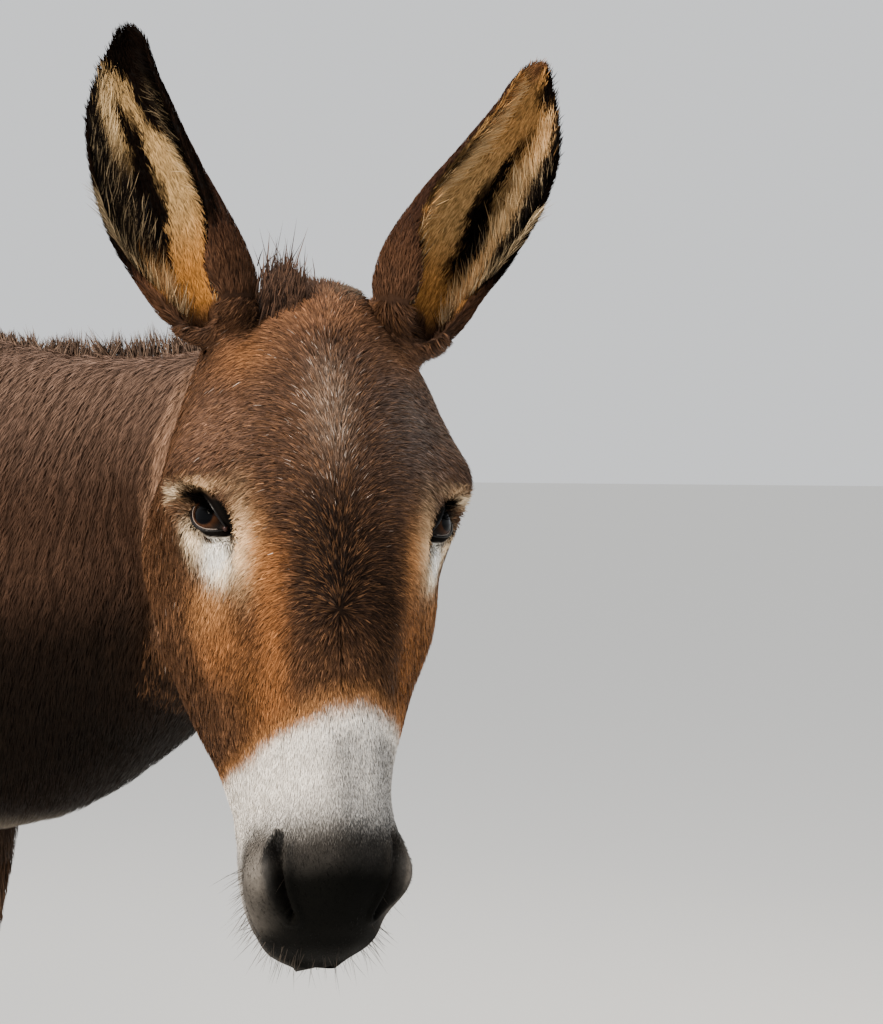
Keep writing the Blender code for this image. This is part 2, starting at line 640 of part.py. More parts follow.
def makeHoof(name):
    """A narrow upright hoof, flat on the floor, with its top on the coronet's plane."""
    x, y, length, width = legShape(name)(coronetHeight)
    angle = np.arange(22) * math.tau / 22
    rings = []
    for share in np.linspace(0, 1, 4):
        reach = 1.02 + 0.26 * share + 0.03 * math.sin(math.pi * share)
        ring = np.stack([width * reach * 0.97 * np.sin(angle), length * reach * np.cos(angle)], 1)
        back = np.clip(ring[:, 1] / (length * reach), 0, 1)
        ring[:, 0] *= 1 - 0.10 * back  # narrower at the heel
        forward = -0.020 * share * (1 - 0.45 * back)
        top = coronetHeight - gap - coronetSlope * ring[:, 1]
        height = top * (1 - share)
        rings.append(np.stack([x + ring[:, 0], y + ring[:, 1] + forward, height], 1))
    return closedLoft(name.replace("leg", "hoof"), rings)


# ----------------------------------------------------------------- mane, tail

maneHeight = spline(
    (0.02, 0.006), (0.12, 0.020), (0.3, 0.028), (0.6, 0.031), (0.85, 0.031), (0.97, 0.026),
    (1.0, 0.016),
)


def makeMane():
    """The upright crest of short stiff hair, from the withers to between the ears."""
    rings = []
    for t in np.linspace(0.02, 1.0, 18):
        ahead, behind = crestLine(min(t + 0.02, 1)), crestLine(max(t - 0.02, 0))
        forward = (ahead - behind) / np.linalg.norm(ahead - behind)
        side = np.cross(forward, (0, 0, 1))
        side /= np.linalg.norm(side)
        top = crestLine(t) + np.array((0, 0, float(maneHeight(t))))
        bottom = crestLine(t) - np.array((0, 0, 0.020))
        rings.append(ovalRing(top, bottom, side, 0.0105, pear=0.30, fullness=0.8, around=10))
    return closedLoft("mane", rings)


tailLine = spline(
    (0, (0.0, 0.545, 1.020)), (0.15, (0.0, 0.610, 0.995)), (0.35, (0.0, 0.648, 0.900)),
    (0.6, (0.004, 0.660, 0.760)), (0.8, (0.008, 0.657, 0.620)), (1, (0.010, 0.651, 0.430)),
)
tailRadius = spline(
    (0, 0.030), (0.15, 0.0265), (0.35, 0.0205), (0.55, 0.0170), (0.62, 0.0175), (0.75, 0.031),
    (0.88, 0.030), (0.96, 0.018), (1, 0.006),
)
tuftStart = 0.60


def makeTail(name, start, end, steps):
    rings = []
    angle = np.arange(11) * math.tau / 11
    for t in np.linspace(start, end, steps):
        along = tailLine(min(t + 0.01, 1)) - tailLine(max(t - 0.01, 0))
        along /= np.linalg.norm(along)
        side = np.array((1.0, 0, 0))
        over = np.cross(along, side)
        radius = float(tailRadius(t))
        rings.append(tailLine(t) + radius * (np.outer(np.cos(angle), side) + np.outer(np.sin(angle), over)))
    return closedLoft(name, rings)


# -------------------------------------------------------------------- parting

neckCut = (Vector((-0.085, -0.727, 1.08)), Vector((-0.597, -0.751, -0.27)))  # head beyond it
shoulderCut = (Vector((0, -0.26, 1.13)), Vector((0, -0.86, 0.51)))  # neck beyond it


def facingBack(normal):
    return -Vector(normal)


def rough(body, cuts, triangles, name):
    """A copy of the body cut a little wide, lightened, and then cut true."""
    piece = copyOf(body, name)
    spare = 0.03
    for point, normal in cuts:
        cutAway(piece, point + normal.normalized() * spare, normal)
    lightened(piece, triangles)
    for point, normal in cuts:
        cutAway(piece, point, normal)
    return piece


def largest(obj, name):
    """The biggest of an object's separate bodies. The others are removed."""
    pieces = looseParts(obj)
    pieces.sort(key=lambda piece: np.prod(np.ptp(cornersOf(piece), axis=0)))
    for crumb in pieces[:-1]:
        bpy.data.objects.remove(crumb)
    pieces[-1].name = name
    return pieces[-1]


def makeEye(side):
    """An eyeball in its socket, and the same ball a little larger as the socket's cutter."""
    balls = []
    sign = 1 if side == "right" else -1
    centre = headFrame @ Vector((sign * eyeCentre[0], eyeCentre[1], eyeCentre[2]))
    for name, radius in ((f"eye_{side}", eyeRadius), (f"socket_{side}", eyeRadius + 2.5 * gap)):
        mesh = bpy.data.meshes.new(name)
        ball = bmesh.new()
        bmesh.ops.create_icosphere(ball, subdivisions=3, radius=radius)
        ball.to_mesh(mesh)
        ball.free()
        obj = bpy.data.objects.new(name, mesh)
        bpy.context.scene.collection.objects.link(obj)
        obj.location = centre
        balls.append(obj)
    return balls


def makeBody():
    """All the flesh but the ears and tail as one smooth closed body."""
    forms = makeTrunk() + [makeNeck()] + makeHead()
    for name in legPlaces:
        forms += makeLeg(name)
    return blended(joined("body", forms), blendVoxel, 9)


def partBody(body):
    """The body's nodes, each closed and a thin cut away from the next."""
    headPoint, headNormal = neckCut
    shoulderPoint, shoulderNormal = shoulderCut
    floorward, skyward = Vector((0, 0, -1)), Vector((0, 0, 1))
    belly = Vector((0, 0, legCut))
    nodes = {}
    upper = [(Vector((0, 0, 0.55)), floorward)]
    nodes["head"] = rough(body, [(headPoint, facingBack(headNormal))] + upper, 2500, "head")
    nodes["head"] = largest(nodes["head"], "head")
    neckEnds = [(headPoint, headNormal), (shoulderPoint, facingBack(shoulderNormal))]
    nodes["neck"] = rough(body, neckEnds + upper, 480, "neck")
    nodes["neck"] = largest(nodes["neck"], "neck")
    nodes["trunk"] = largest(
        rough(body, [(shoulderPoint, shoulderNormal), (belly, floorward)], 1150, "trunk"), "trunk"
    )
    legs = rough(body, [(belly, skyward)], 1300, "legs")
    pieces = looseParts(legs)
    for name in legPlaces:
        x, y, _, _ = legShape(name)(0.3)
        nearest = min(pieces, key=lambda piece: (Vector((x, y, 0.3)) - middleOf(piece)).length)
        nearest.name = name
        nodes[name] = cutAway(nearest, *coronet(name))
    return nodes


def cornersOf(obj):
    points = np.array([vertex.co for vertex in obj.data.vertices])
    return np.array((points.min(0), points.max(0)))


def middleOf(obj):
    return Vector(cornersOf(obj).mean(0))


def socketed(head, cutters):
    """Sinks the eye sockets into the head."""
    for cutter in cutters:
        subtract(head, cutter)
        bpy.data.objects.remove(cutter)
    return head


# ------------------------------------------------------------------ materials

coats = {  # base colour, roughness
    "brown_coat": ((0.150, 0.085, 0.052), 0.75),
    "dark_hair": ((0.060, 0.036, 0.026), 0.80),
    "hoof_horn": ((0.075, 0.062, 0.052), 0.55),
    "eye_gloss": ((0.030, 0.012, 0.006), 0.08),
}
nodeCoat = {
    "mane": "dark_hair",
    "tail_tuft": "dark_hair",
    "eye": "eye_gloss",
    "forehoof": "hoof_horn",
    "hindhoof": "hoof_horn",
}


def coatMaterial(name):
    made = bpy.data.materials.get(name)
    if made is None:
        colour, roughness = coats[name]
        made = bpy.data.materials.new(name)
        made.use_nodes = True
        shader = made.node_tree.nodes["Principled BSDF"]
        shader.inputs["Base Color"].default_value = (*colour, 1)
        shader.inputs["Roughness"].default_value = roughness
        shader.inputs["Metallic"].default_value = 0.0
    return made


def finish(obj):
    kind = next((nodeCoat[key] for key in nodeCoat if obj.name.startswith(key)), "brown_coat")
    obj.data.materials.clear()
    obj.data.materials.append(coatMaterial(kind))
    obj.data.shade_smooth()
    obj.data.set_sharp_from_angle(angle=math.radians(45))


def standOnOrigin(objects):
    """Moves everything so that the origin is on the floor, under the middle of the whole box."""
    corners = np.array([v.co for obj in objects for v in obj.data.vertices])
    low, high = corners.min(0), corners.max(0)
    shift = Matrix.Translation((-(low[0] + high[0]) / 2, -(low[1] + high[1]) / 2, -low[2]))
    for obj in objects:
        obj.data.transform(shift)


def main():
    for obj in list(bpy.data.objects):
        bpy.data.objects.remove(obj)
    body = makeBody()
    nodes = partBody(body)
    bpy.data.objects.remove(body)
    eyes, sockets = zip(*[makeEye(side) for side in ("left", "right")])
    nodes["head"] = socketed(nodes["head"], sockets)
    made = list(nodes.values()) + [bake(eye) for eye in eyes]
    for side in ("left", "right"):
        made.append(trimmed(makeEar(side), [nodes["head"]]))
        made[-1].name = f"ear_{side}"
    mane = trimmed(makeMane(), [nodes["head"], nodes["neck"], nodes["trunk"]])
    mane.name = "mane"
    tail = trimmed(makeTail("tail", 0, tuftStart - 0.0004, 10), [nodes["trunk"]])
    tail.name = "tail"
    made += [mane, tail, makeTail("tail_tuft", tuftStart + 0.0004, 1, 9)]
    made += [makeHoof(name) for name in legPlaces]
    standOnOrigin(made)
    for obj in made:
        finish(obj)


main()
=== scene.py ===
import math

import bmesh
import bpy
import numpy as np
from mathutils import Matrix, Vector
from mathutils.bvhtree import BVHTree


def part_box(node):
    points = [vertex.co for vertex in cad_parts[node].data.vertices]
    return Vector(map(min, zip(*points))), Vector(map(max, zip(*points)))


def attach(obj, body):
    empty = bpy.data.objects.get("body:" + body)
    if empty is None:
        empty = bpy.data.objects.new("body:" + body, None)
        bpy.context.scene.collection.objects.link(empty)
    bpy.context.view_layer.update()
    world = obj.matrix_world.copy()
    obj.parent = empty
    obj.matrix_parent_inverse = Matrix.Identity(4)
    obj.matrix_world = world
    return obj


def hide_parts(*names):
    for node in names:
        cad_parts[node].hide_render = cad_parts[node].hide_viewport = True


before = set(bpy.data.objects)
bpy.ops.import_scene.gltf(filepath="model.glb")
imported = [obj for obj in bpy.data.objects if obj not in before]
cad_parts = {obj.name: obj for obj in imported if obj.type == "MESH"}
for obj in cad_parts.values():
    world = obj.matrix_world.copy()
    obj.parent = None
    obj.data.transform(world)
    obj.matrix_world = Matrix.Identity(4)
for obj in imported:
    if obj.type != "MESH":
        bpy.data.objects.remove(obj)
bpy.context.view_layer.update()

sides = ("left", "right")
legNames = [f"{leg}_{side}" for leg in ("foreleg", "hindleg") for side in sides]
fleshNodes = ["head", "neck", "trunk", "tail", *legNames]


def linear(code):  # an sRGB hex colour as linear red, green and blue
    parts = np.array([int(code[i:i + 2], 16) for i in (1, 3, 5)]) / 255
    return np.where(parts <= 0.04045, parts / 12.92, ((parts + 0.055) / 1.055) ** 2.4)


def ramp(values, low, high):  # 0 below low, 1 above high, smooth between; low may be the larger
    u = np.clip((values - low) / (high - low), 0, 1)
    return u * u * (3 - 2 * u)


def window(values, a, b, c, d):  # it rises from a to b and falls from c to d
    return ramp(values, a, b) * ramp(values, d, c)


def bell(values, centre, width):  # 1 at the centre, nearly nothing two widths away
    return np.exp(-((values - centre) / width) ** 2)


def hump(points, *spot):  # a bell round a place: its centre and its reach along X, Y and Z in millimetres
    centre, reach = np.reshape(spot, (2, 3)) / 1000
    return np.exp(-(((points - centre) / reach) ** 2).sum(-1))


def unit(vectors):
    return vectors / np.maximum(np.linalg.norm(vectors, axis=-1, keepdims=True), 1e-12)


def blend(first, second, share):  # rows of three, the second where share is 1
    share = np.reshape(share, (-1, 1))
    return first * (1 - share) + second * share


def inPlane(a, first, b, second):  # points at a along the first direction and b along the second
    return np.outer(a, first) + np.outer(b, second)


def circle(count, first, second):
    angle = np.arange(count) * math.tau / count
    return inPlane(np.cos(angle), first, np.sin(angle), second)


def bridge(u, width, start, startSlope, end, endSlope):  # a cubic over the width, u running from 0 to 1
    first = (1 + 2 * u) * (1 - u) ** 2 * start + u * (1 - u) ** 2 * width * startSlope
    return first + (u * u * (3 - 2 * u) * end + u * u * (u - 1) * width * endSlope)


def spline(*knots):  # a smooth curve through (place, value) knots; a value may be a point
    places = np.array([place for place, _ in knots], float)
    values = np.array([value for _, value in knots], float)
    slopes = np.gradient(values, places, axis=0)

    def at(place):
        place = np.clip(np.asarray(place, float), places[0], places[-1])
        i = np.clip(np.searchsorted(places, place, side="right") - 1, 0, len(places) - 2)
        width = places[i + 1] - places[i]
        u = (place - places[i]) / width
        if values.ndim > 1:
            u, width = u[..., None], width[..., None]
        return bridge(u, width, values[i], slopes[i], values[i + 1], slopes[i + 1])

    return at


def curve(*flat):  # a spline from a place and its value in turn, all in millimetres
    return spline(*(np.reshape(flat, (-1, 2)) / 1000))


def shareCurve(*flat):  # the same with places in per cent of a length
    return spline(*(np.reshape(flat, (-1, 2)) / (100, 1000)))


def path(origin, *flat):  # the same for points: per cent, then X, Y and Z from the origin
    rows = np.reshape(flat, (-1, 4)) / (100, 1000, 1000, 1000)
    return spline(*((row[0], origin + row[1:]) for row in rows))


def readOut(items, key, size=1, kind=float):  # one property of all the items
    values = np.empty(len(items) * size, kind)
    items.foreach_get(key, values)
    return values.reshape(-1, size) if size > 1 else values


def linked(name, data):
    obj = bpy.data.objects.new(name, data)
    bpy.context.scene.collection.objects.link(obj)
    return obj


def meshPiece(name, points, faces):
    mesh = bpy.data.meshes.new(name)
    mesh.from_pydata(np.asarray(points).tolist(), [], faces)
    mesh.update()
    return linked(name, mesh)


def closedLoft(name, rings):  # a closed body through rings of equally many points
    count, around, _ = rings.shape
    points = np.concatenate([rings.reshape(-1, 3), rings[:1].mean(1), rings[-1:].mean(1)])
    k = np.arange(around)
    after = (k + 1) % around
    low = (np.arange(count - 1) * around)[:, None]
    last = (count - 1) * around
    sideFaces = np.stack([low + k, low + after, low + around + after, low + around + k], -1).reshape(-1, 4)
    ends = [np.stack([np.full(around, count * around), after, k], 1),
            np.stack([np.full(around, count * around + 1), last + k, last + after], 1)]
    obj = meshPiece(name, points, sideFaces.tolist() + np.concatenate(ends).tolist())
    work = bmesh.new()
    work.from_mesh(obj.data)
    bmesh.ops.recalc_face_normals(work, faces=work.faces)
    if work.calc_volume(signed=True) < 0:
        bmesh.ops.reverse_faces(work, faces=work.faces)
    work.to_mesh(obj.data)
    work.free()
    return obj


def applied(obj):  # the modifiers' result becomes the mesh
    graph = bpy.context.evaluated_depsgraph_get()
    mesh = bpy.data.meshes.new_from_object(obj.evaluated_get(graph))
    obj.modifiers.clear()
    obj.data = mesh
    return obj


def smoothed(obj, rounds, weights=None):
    smooth = obj.modifiers.new("smooth", "SMOOTH")
    smooth.factor, smooth.iterations = 0.5, rounds
    if weights is not None:
        group = obj.vertex_groups.new(name="blend")
        for level in range(1, 11):  # ten steps of weight are smooth enough
            chosen = np.nonzero(np.round(weights * 10) == level)[0]
            group.add(chosen.tolist(), level / 10, "REPLACE")
        smooth.vertex_group = "blend"
    applied(obj)
    obj.vertex_groups.clear()
    return obj


# The head has its own frame: X to the donkey's right, Y from the poll to the lips, Z out of the forehead.
headPose = {"turn": 51.0, "drop": 20.0, "tilt": 2.3}  # degrees
eyeShape = {
    "centre": (0.077, 0.171, -0.0375),  # of the right eye; the left one is mirrored
    "out": (0.8, 0.06, 0.6),
    "slit": (-0.57, 0.66, 0.51),  # from the outer corner to the inner one
    "radius": 0.0215,
}


def headAxes():
    turn, drop, tilt = (math.radians(headPose[key]) for key in ("turn", "drop", "tilt"))
    facing = np.array((-math.sin(turn), -math.cos(turn), 0))
    across = np.cross(facing, (0, 0, 1))
    along = np.array((0, 0, -1)) * math.cos(drop) + facing * math.sin(drop)
    level = np.stack([across, along, np.cross(across, along)], 1)
    c, s = math.cos(tilt), math.sin(tilt)
    return level @ np.array([(c, s, 0), (-s, c, 0), (0, 0, 1)])


axes = headAxes()
eyeMiddle = np.mean([np.mean([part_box(f"eye_{side}")[i] for i in (0, 1)], 0) for side in ("left", "right")], 0)
headOrigin = eyeMiddle - axes @ (np.array(eyeShape["centre"]) * (0, 1, 1))
middle = headOrigin - (-0.165, -0.815, 1.105)  # from the withers' own frame to the one centred on the floor


def toHead(points):
    return (np.asarray(points) - headOrigin) @ axes


def fromHead(points):
    return np.asarray(points) @ axes.T + headOrigin


# Level with the muzzle's top, 1.7 m ahead of the forehead and a little to its left.
view = {
    "distance": 1.7, "aside": 0.0736, "height": 1.0, "pitch": 2.0, "azimuth": (-0.927, -0.375),
    "lens": 82.5, "sensor": 36,
}


def makeCamera():
    back = Vector((*view["azimuth"], 0)).normalized()
    right = Vector((-back.y, back.x, 0))
    forehead = Vector(fromHead((0.0, 0.165, 0.018)))
    place = forehead + back * view["distance"] + right * view["aside"]
    place.z = view["height"]
    data = bpy.data.cameras.new("camera")
    data.lens, data.sensor_width, data.sensor_fit = view["lens"], view["sensor"], "AUTO"
    data.clip_start, data.clip_end = 0.05, 60
    camera = linked("camera", data)
    pitch = math.radians(view["pitch"])
    look = -back * math.cos(pitch) + Vector((0, 0, -1)) * math.sin(pitch)
    camera.rotation_euler = look.to_track_quat("-Z", "Y").to_euler()
    camera.location = place
    bpy.context.scene.camera = camera
    return back, right, forehead


back, right, forehead = makeCamera()
print("camera placed", [round(v, 3) for v in bpy.context.scene.camera.location])

headLength = 0.492  # from the poll to the lips
# The head's outline along that length.
crownLine = curve(
    -30, -20, 0, -3, 50, 10, 100, 17, 150, 19, 200, 13, 250, 4, 300, -3, 360, -10, 400, -15, 430, -24, 455,
    -38, 475, -60, 487, -83, 492, -104)
jawLine = curve(
    -30, -145, 0, -165, 40, -205, 80, -232, 120, -240, 160, -232, 210, -220, 260, -204, 310, -182, 360,
    -160, 390, -151, 420, -155, 445, -155, 468, -144, 484, -128, 492, -112)
crownWidth = curve(
    -30, 28, 0, 38, 40, 51, 90, 62, 140, 70, 180, 66, 220, 54, 260, 43, 310, 34, 360, 29, 400, 28, 440, 30,
    465, 26, 482, 18, 492, 7)
crownDrop = curve(-30, 12, 90, 10, 160, 13, 250, 11, 350, 10, 440, 12, 492, 3)
browWidth = curve(
    -30, 58, 0, 70, 40, 86, 80, 97, 115, 107, 145, 113, 175, 105, 200, 95.5, 250, 83.5, 290, 68.5, 330,
    53.5, 360, 47, 390, 47, 415, 53, 440, 57, 462, 51, 480, 36, 492, 12)
browHeight = curve(
    -30, -60, 40, -48, 80, -40, 120, -34, 160, -38, 200, -48, 250, -53, 300, -52, 360, -48, 400, -50, 440,
    -62, 465, -78, 482, -95, 492, -107)
cheekWidth = curve(
    -30, 60, 0, 70, 40, 84, 80, 96, 120, 104, 160, 106, 200, 105, 250, 97, 300, 83, 350, 65, 390, 54, 420,
    53, 445, 51, 465, 44, 482, 31, 492, 11)
cheekHeight = curve(
    -30, -100, 40, -122, 100, -134, 160, -134, 220, -124, 280, -114, 340, -102, 400, -96, 440, -103, 470,
    -107, 492, -109)
jawWidth = curve(
    -30, 38, 0, 48, 40, 60, 80, 74, 120, 83, 160, 86, 210, 82, 260, 73, 310, 60, 360, 47, 390, 41, 420, 40,
    445, 36, 468, 28, 484, 18, 492, 7)
jawRise = curve(-30, 18, 80, 26, 160, 24, 300, 22, 420, 18, 470, 13, 492, 2)
chewShift = curve(80, 0, 200, 7, 300, 11, 380, 12, 492, 12)  # the jaw's slide to the right
nostrilPath = path(0, 0, 44, 406, -40, 35, 46, 424, -46, 70, 41, 443, -52, 100, 31, 460, -58)
mouthPath = path(0, 0, 50, 385, -112, 40, 53, 430, -122, 75, 36, 470, -118, 100, 0, 492, -110)

eyeCentre, eyeRadius = np.array(eyeShape["centre"]), eyeShape["radius"]
eyeOut = unit(eyeShape["out"])
eyeSlit = unit(eyeShape["slit"] - eyeOut * (eyeShape["slit"] @ eyeOut))
eyeUp = np.cross(eyeOut, eyeSlit)
signs = {"left": np.array((-1.0, 1.0, 1.0)), "right": np.ones(3)}  # they mirror the right eye


def evenly(density, low, high, count):  # places between low and high, closer where density is high
    fine = np.linspace(low, high, 4000)
    total = np.cumsum(density(fine))
    total = (total - total[0]) / (total[-1] - total[0])
    return np.interp(np.linspace(0, 1, count), total, fine)


def headRings(places, steps):
    zero = np.zeros_like(places)
    top, bottom, shift = crownLine(places), jawLine(places), chewShift(places)
    outline = [  # half the width, the height, and the share of the jaw's slide
        (zero, top, 0),
        (crownWidth(places), top - crownDrop(places), 0),
        (browWidth(places), browHeight(places), 0.1),
        (cheekWidth(places), cheekHeight(places), 0.45),
        (jawWidth(places), bottom + jawRise(places), 1),
        (zero, bottom, 1),
    ]
    control = [(x + shift * slide, z) for x, z, slide in outline]
    control += [(-x + shift * slide, z) for x, z, slide in outline[4:0:-1]]
    control = np.array(control).transpose(2, 0, 1)
    tangent = (np.roll(control, -1, 1) - np.roll(control, 1, 1)) / 2
    i = steps.astype(int) % 10
    j = (i + 1) % 10
    u = (steps - steps.astype(int))[None, :, None]
    flat = bridge(u, 1, control[:, i], tangent[:, i], control[:, j], tangent[:, j])
    return np.insert(flat, 1, places[:, None], 2)


def gridNormals(rings):
    along = np.gradient(rings, axis=0)
    across = np.roll(rings, -1, 1) - np.roll(rings, 1, 1)
    normal = np.cross(across, along)
    outward = rings - rings.mean(1, keepdims=True)
    return unit(normal * np.sign((normal * outward).sum(-1).mean()))


def mirrored(points):  # the right half of the head stands for both
    return np.column_stack([np.abs(points[:, 0]), points[:, 1:]])


def eyePlane(half):  # along the slit, up across it and out of the eye, from its centre
    away = half - eyeCentre
    return away @ eyeSlit, away @ eyeUp, away @ eyeOut


def eyeZone(half, reach=0.055):  # which points lie near an eye, and their places in its plane
    u, v, w = eyePlane(half)
    near = (np.hypot(u, v) < reach) & (w > -0.012)
    return near, u[near], v[near], w[near]


def ballHeight(u, v):  # of the eyeball's surface over that plane
    return np.sqrt(eyeRadius ** 2 - np.minimum(np.hypot(u, v), eyeRadius * 0.97) ** 2)


lidShape = {
    "outer": -0.021, "inner": 0.0188, "trough": 0.041,  # ends of the opening and of the tear trough
    "upper": 0.0098, "lower": 0.01, "thick": 0.002, "roll": 0.0016, "crease": 0.0017, "lowCrease": 0.0009,
}


def lidEdge(u, upper):  # height of a lid's edge over the slit line
    low, high = lidShape["outer"], lidShape["inner"]
    t = np.clip((u - low) / (high - low), 0, 1)
    if upper:
        return lidShape["upper"] * np.sin(math.pi * t ** 0.8) ** 0.72 + 0.0015 * (1 - t)
    return -lidShape["lower"] * np.sin(math.pi * t ** 1.05) ** 0.8 + 0.0015 * (1 - t)


def fromLids(u, v):  # distance from the opening's edge, below 0 inside it
    line = np.linspace(lidShape["outer"], lidShape["inner"], 60)
    edge = np.concatenate([np.stack([line, lidEdge(line, upper)], 1) for upper in (True, False)])
    away = np.sqrt(((np.stack([u, v], 1)[:, None] - edge[None]) ** 2).sum(-1)).min(1)
    within = (u > line[0]) & (u < line[-1]) & (v < lidEdge(u, True)) & (v > lidEdge(u, False))
    return np.where(within, -away, away)


def troughLine(u, v):  # 1 in the tear trough that runs on from the inner corner
    along = (u - lidShape["inner"]) / (lidShape["trough"] - lidShape["inner"])
    bend = -0.013 * np.clip(along, 0, 1.2) ** 1.2
    width = 0.0034 * (1.1 - 0.8 * np.clip(along, 0, 1))
    return bell(v, bend, width) * window(along, -0.35, 0.0, 0.85, 1.15)


def lidBand(u, v):  # width of the black skin round the opening and of its soft edge
    upper = 0.0045 + 0.005 * ramp(u, 0.0, 0.012) + 0.002 * ramp(u, 0.016, 0.024)
    wide = np.where(v > 0, upper, 0.001 + 0.0038 * ramp(u, 0.001, 0.012))
    return wide, np.where(v > 0, 0.003, 0.0012)


def raiseLids(points):
    near, u, v, w = eyeZone(mirrored(points), 0.05)
    edge, ball = fromLids(u, v), ballHeight(u, v)
    lid = ramp(edge, np.where(v > 0, 0.013, 0.015), 0.0005)
    height = w * (1 - lid) + (ball + lidShape["thick"]) * lid
    height += lidShape["roll"] * bell(edge, 0.0045, 0.0025) * (v > 0)
    height -= lidShape["crease"] * bell(edge, 0.0085, 0.0014) * ramp(v, 0.001, 0.006)
    height -= lidShape["lowCrease"] * bell(edge, 0.007, 0.0012) * ramp(v, -0.001, -0.006)
    height -= 0.0022 * troughLine(u, v)
    inside = ramp(edge, 0.0002, -0.001)
    height = height * (1 - inside) + (ball - 0.0035) * inside
    move = (height - w)[:, None] * eyeOut
    move[:, 0] *= np.sign(points[near, 0])
    out = points.copy()
    out[near] += move
    return out


def onPath(half, path, count):
    line = path(np.linspace(0, 1, count))
    away = np.sqrt(((half[:, None] - line[None]) ** 2).sum(-1))
    nearest = away.argmin(1)
    return away[np.arange(len(half)), nearest], nearest / (count - 1)


muzzleShape = {  # half the nostril's width and its depth, its rim, the mouth's line and the lips' roll
    "nostril": 0.0078, "nostrilDepth": 0.024, "rim": 0.0022, "mouth": 0.0065, "lips": 0.0016,
}


def fromNostril(half):  # distance from the nostril's middle line, half its width there and the place along it
    away, along = onPath(half, nostrilPath, 33)
    wide = np.sin(math.pi * np.clip(0.1 + 0.7 * (1 - along), 0, 1)) ** 0.8
    return away, muzzleShape["nostril"] * wide, along


# How far each form pushes the head's skin out, then its centre and reach. A negative X is on the left only.
headForms = [
    (6, 98, 136, -24, 26, 20, 24),  # brow over the eye
    (-5, 74, 92, -4, 22, 26, 24),  # hollow behind the brow
    (-2, 96, 200, -55, 30, 20, 22),  # fall below the eye
    (11, 90, 140, -200, 40, 62, 30),  # round angle of the jaw
    (4, 74, 262, -68, 30, 40, 12),  # facial crest
    (-4, 60, 285, -30, 30, 50, 18),  # flat beside the nose
    (5, 90, 165, -150, 40, 70, 45),  # cheek muscle
    (-3.5, 64, 305, -120, 40, 40, 18),  # hollow ahead of it
    (6, 58, 433, -55, 20, 26, 30),  # wing of the nostril
    (3, 0, 440, -150, 30, 22, 20),  # chin
    (-4.5, -75, 285, -70, 30, 50, 40),  # left cheek drawn in
    (-7.5, -52, 462, -70, 24, 22, 34),  # left lip falls away below it
]


def faceDepth(half):  # how far the skin lies inside the coat's tips
    depth = 0.0026 + 0.0022 * ramp(half[:, 1], 0.1, 0.02) + 0.0018 * ramp(half[:, 2], -0.06, -0.14)
    return depth - 0.0012 * ramp(half[:, 1], 0.33, 0.41)


def headFeatures(rings):
    points, normals = rings.reshape(-1, 3).copy(), gridNormals(rings).reshape(-1, 3)
    half = mirrored(points)
    push = sum(out / 1000 * hump(points if spot[0] < 0 else half, *spot) for out, *spot in headForms)
    points += normals * (push - faceDepth(half))[:, None]
    front = points[:, 1] > 0.36
    half = mirrored(points[front])
    away, slit, along = fromNostril(half)
    rim = bell(away - slit, 0.003, 0.003) * (along > 0)
    inward = unit((-0.5, -0.6, -0.62))
    deep = muzzleShape["nostrilDepth"] * ramp(away, slit * 1.15, slit * 0.45) - muzzleShape["rim"] * rim
    deep = np.outer(deep, inward)
    deep[:, 0] *= np.sign(points[front, 0])
    points[front] += deep
    away, _ = onPath(half, mouthPath, 60)
    lips = muzzleShape["lips"] * bell(away, 0.0065, 0.0035) - muzzleShape["mouth"] * bell(away, 0, 0.0026)
    points[front] += normals[front] * lips[:, None]
    return raiseLids(points).reshape(rings.shape)


def makeHead():  # with more points round the eyes and on the muzzle
    def alongDensity(y):
        return 1 + 1.9 * bell(y, eyeCentre[1] + 0.005, 0.03) + 1.4 * ramp(y, 0.385, 0.405)

    def roundDensity(step):
        return 1 + 1.5 * bell(step, 1.62, 0.55) + 1.5 * bell(step, 8.38, 0.55)

    places = evenly(alongDensity, -0.015, headLength, 300)
    steps = evenly(roundDensity, 0, 10, 285)[:-1]  # ten points make up each ring's outline
    return closedLoft("headForm", fromHead(headFeatures(headRings(places, steps))))


# Each ear's root, tip and the way its opening looks, and its bend outward along its length.
ears = {
    "left": {"base": (-0.064, 0.026, -0.03), "tip": (-0.194, -0.207, -0.011), "opening": (-0.22, 0.25, 0.93),
             "bow": shareCurve(0, 0, 20, -7, 40, 0, 60, 8.5, 80, 10.5, 100, -2), "fullness": 0.84},
    "right": {"base": (0.064, 0.026, -0.03), "tip": (0.139, -0.239, -0.048), "opening": (0.64, 0.25, 0.72),
              "bow": shareCurve(0, 0, 20, 6, 50, 20.5, 70, 22.5, 85, 18.5, 100, 1), "fullness": 1.0},
    "length": 0.273, "inset": 0.0022, "seat": 0.35,  # share of the radius that the tube stands forward
}
earHalfWidth = shareCurve(
    0, 31, 12, 41, 28, 46, 45, 47.5, 62, 45, 78, 39, 88, 31.5, 94, 23.5, 98, 14.5, 100, 7)
earWrap = spline((0, 160), (0.12, 145), (0.28, 112), (0.45, 92), (0.62, 84), (0.8, 76), (1, 60))  # degrees
earThickness = shareCurve(0, 7.5, 30, 5, 70, 4, 100, 2.6)


def earAxes(side):
    base, tip, opening = (np.array(ears[side][key], float) for key in ("base", "tip", "opening"))
    up = unit(tip - base)
    opening = unit(opening - up * (opening @ up))
    across = np.cross(up, opening)
    outward = 1 if across[0] * (1 if side == "right" else -1) > 0 else -1
    return base, up, opening, across, outward


def earRadius(t, side):
    full = 1 + (ears[side]["fullness"] - 1) * np.asarray(t, float) ** 4
    return (earHalfWidth(t) * full - ears["inset"]) / np.sin(np.minimum(np.radians(earWrap(t)), math.pi / 2))


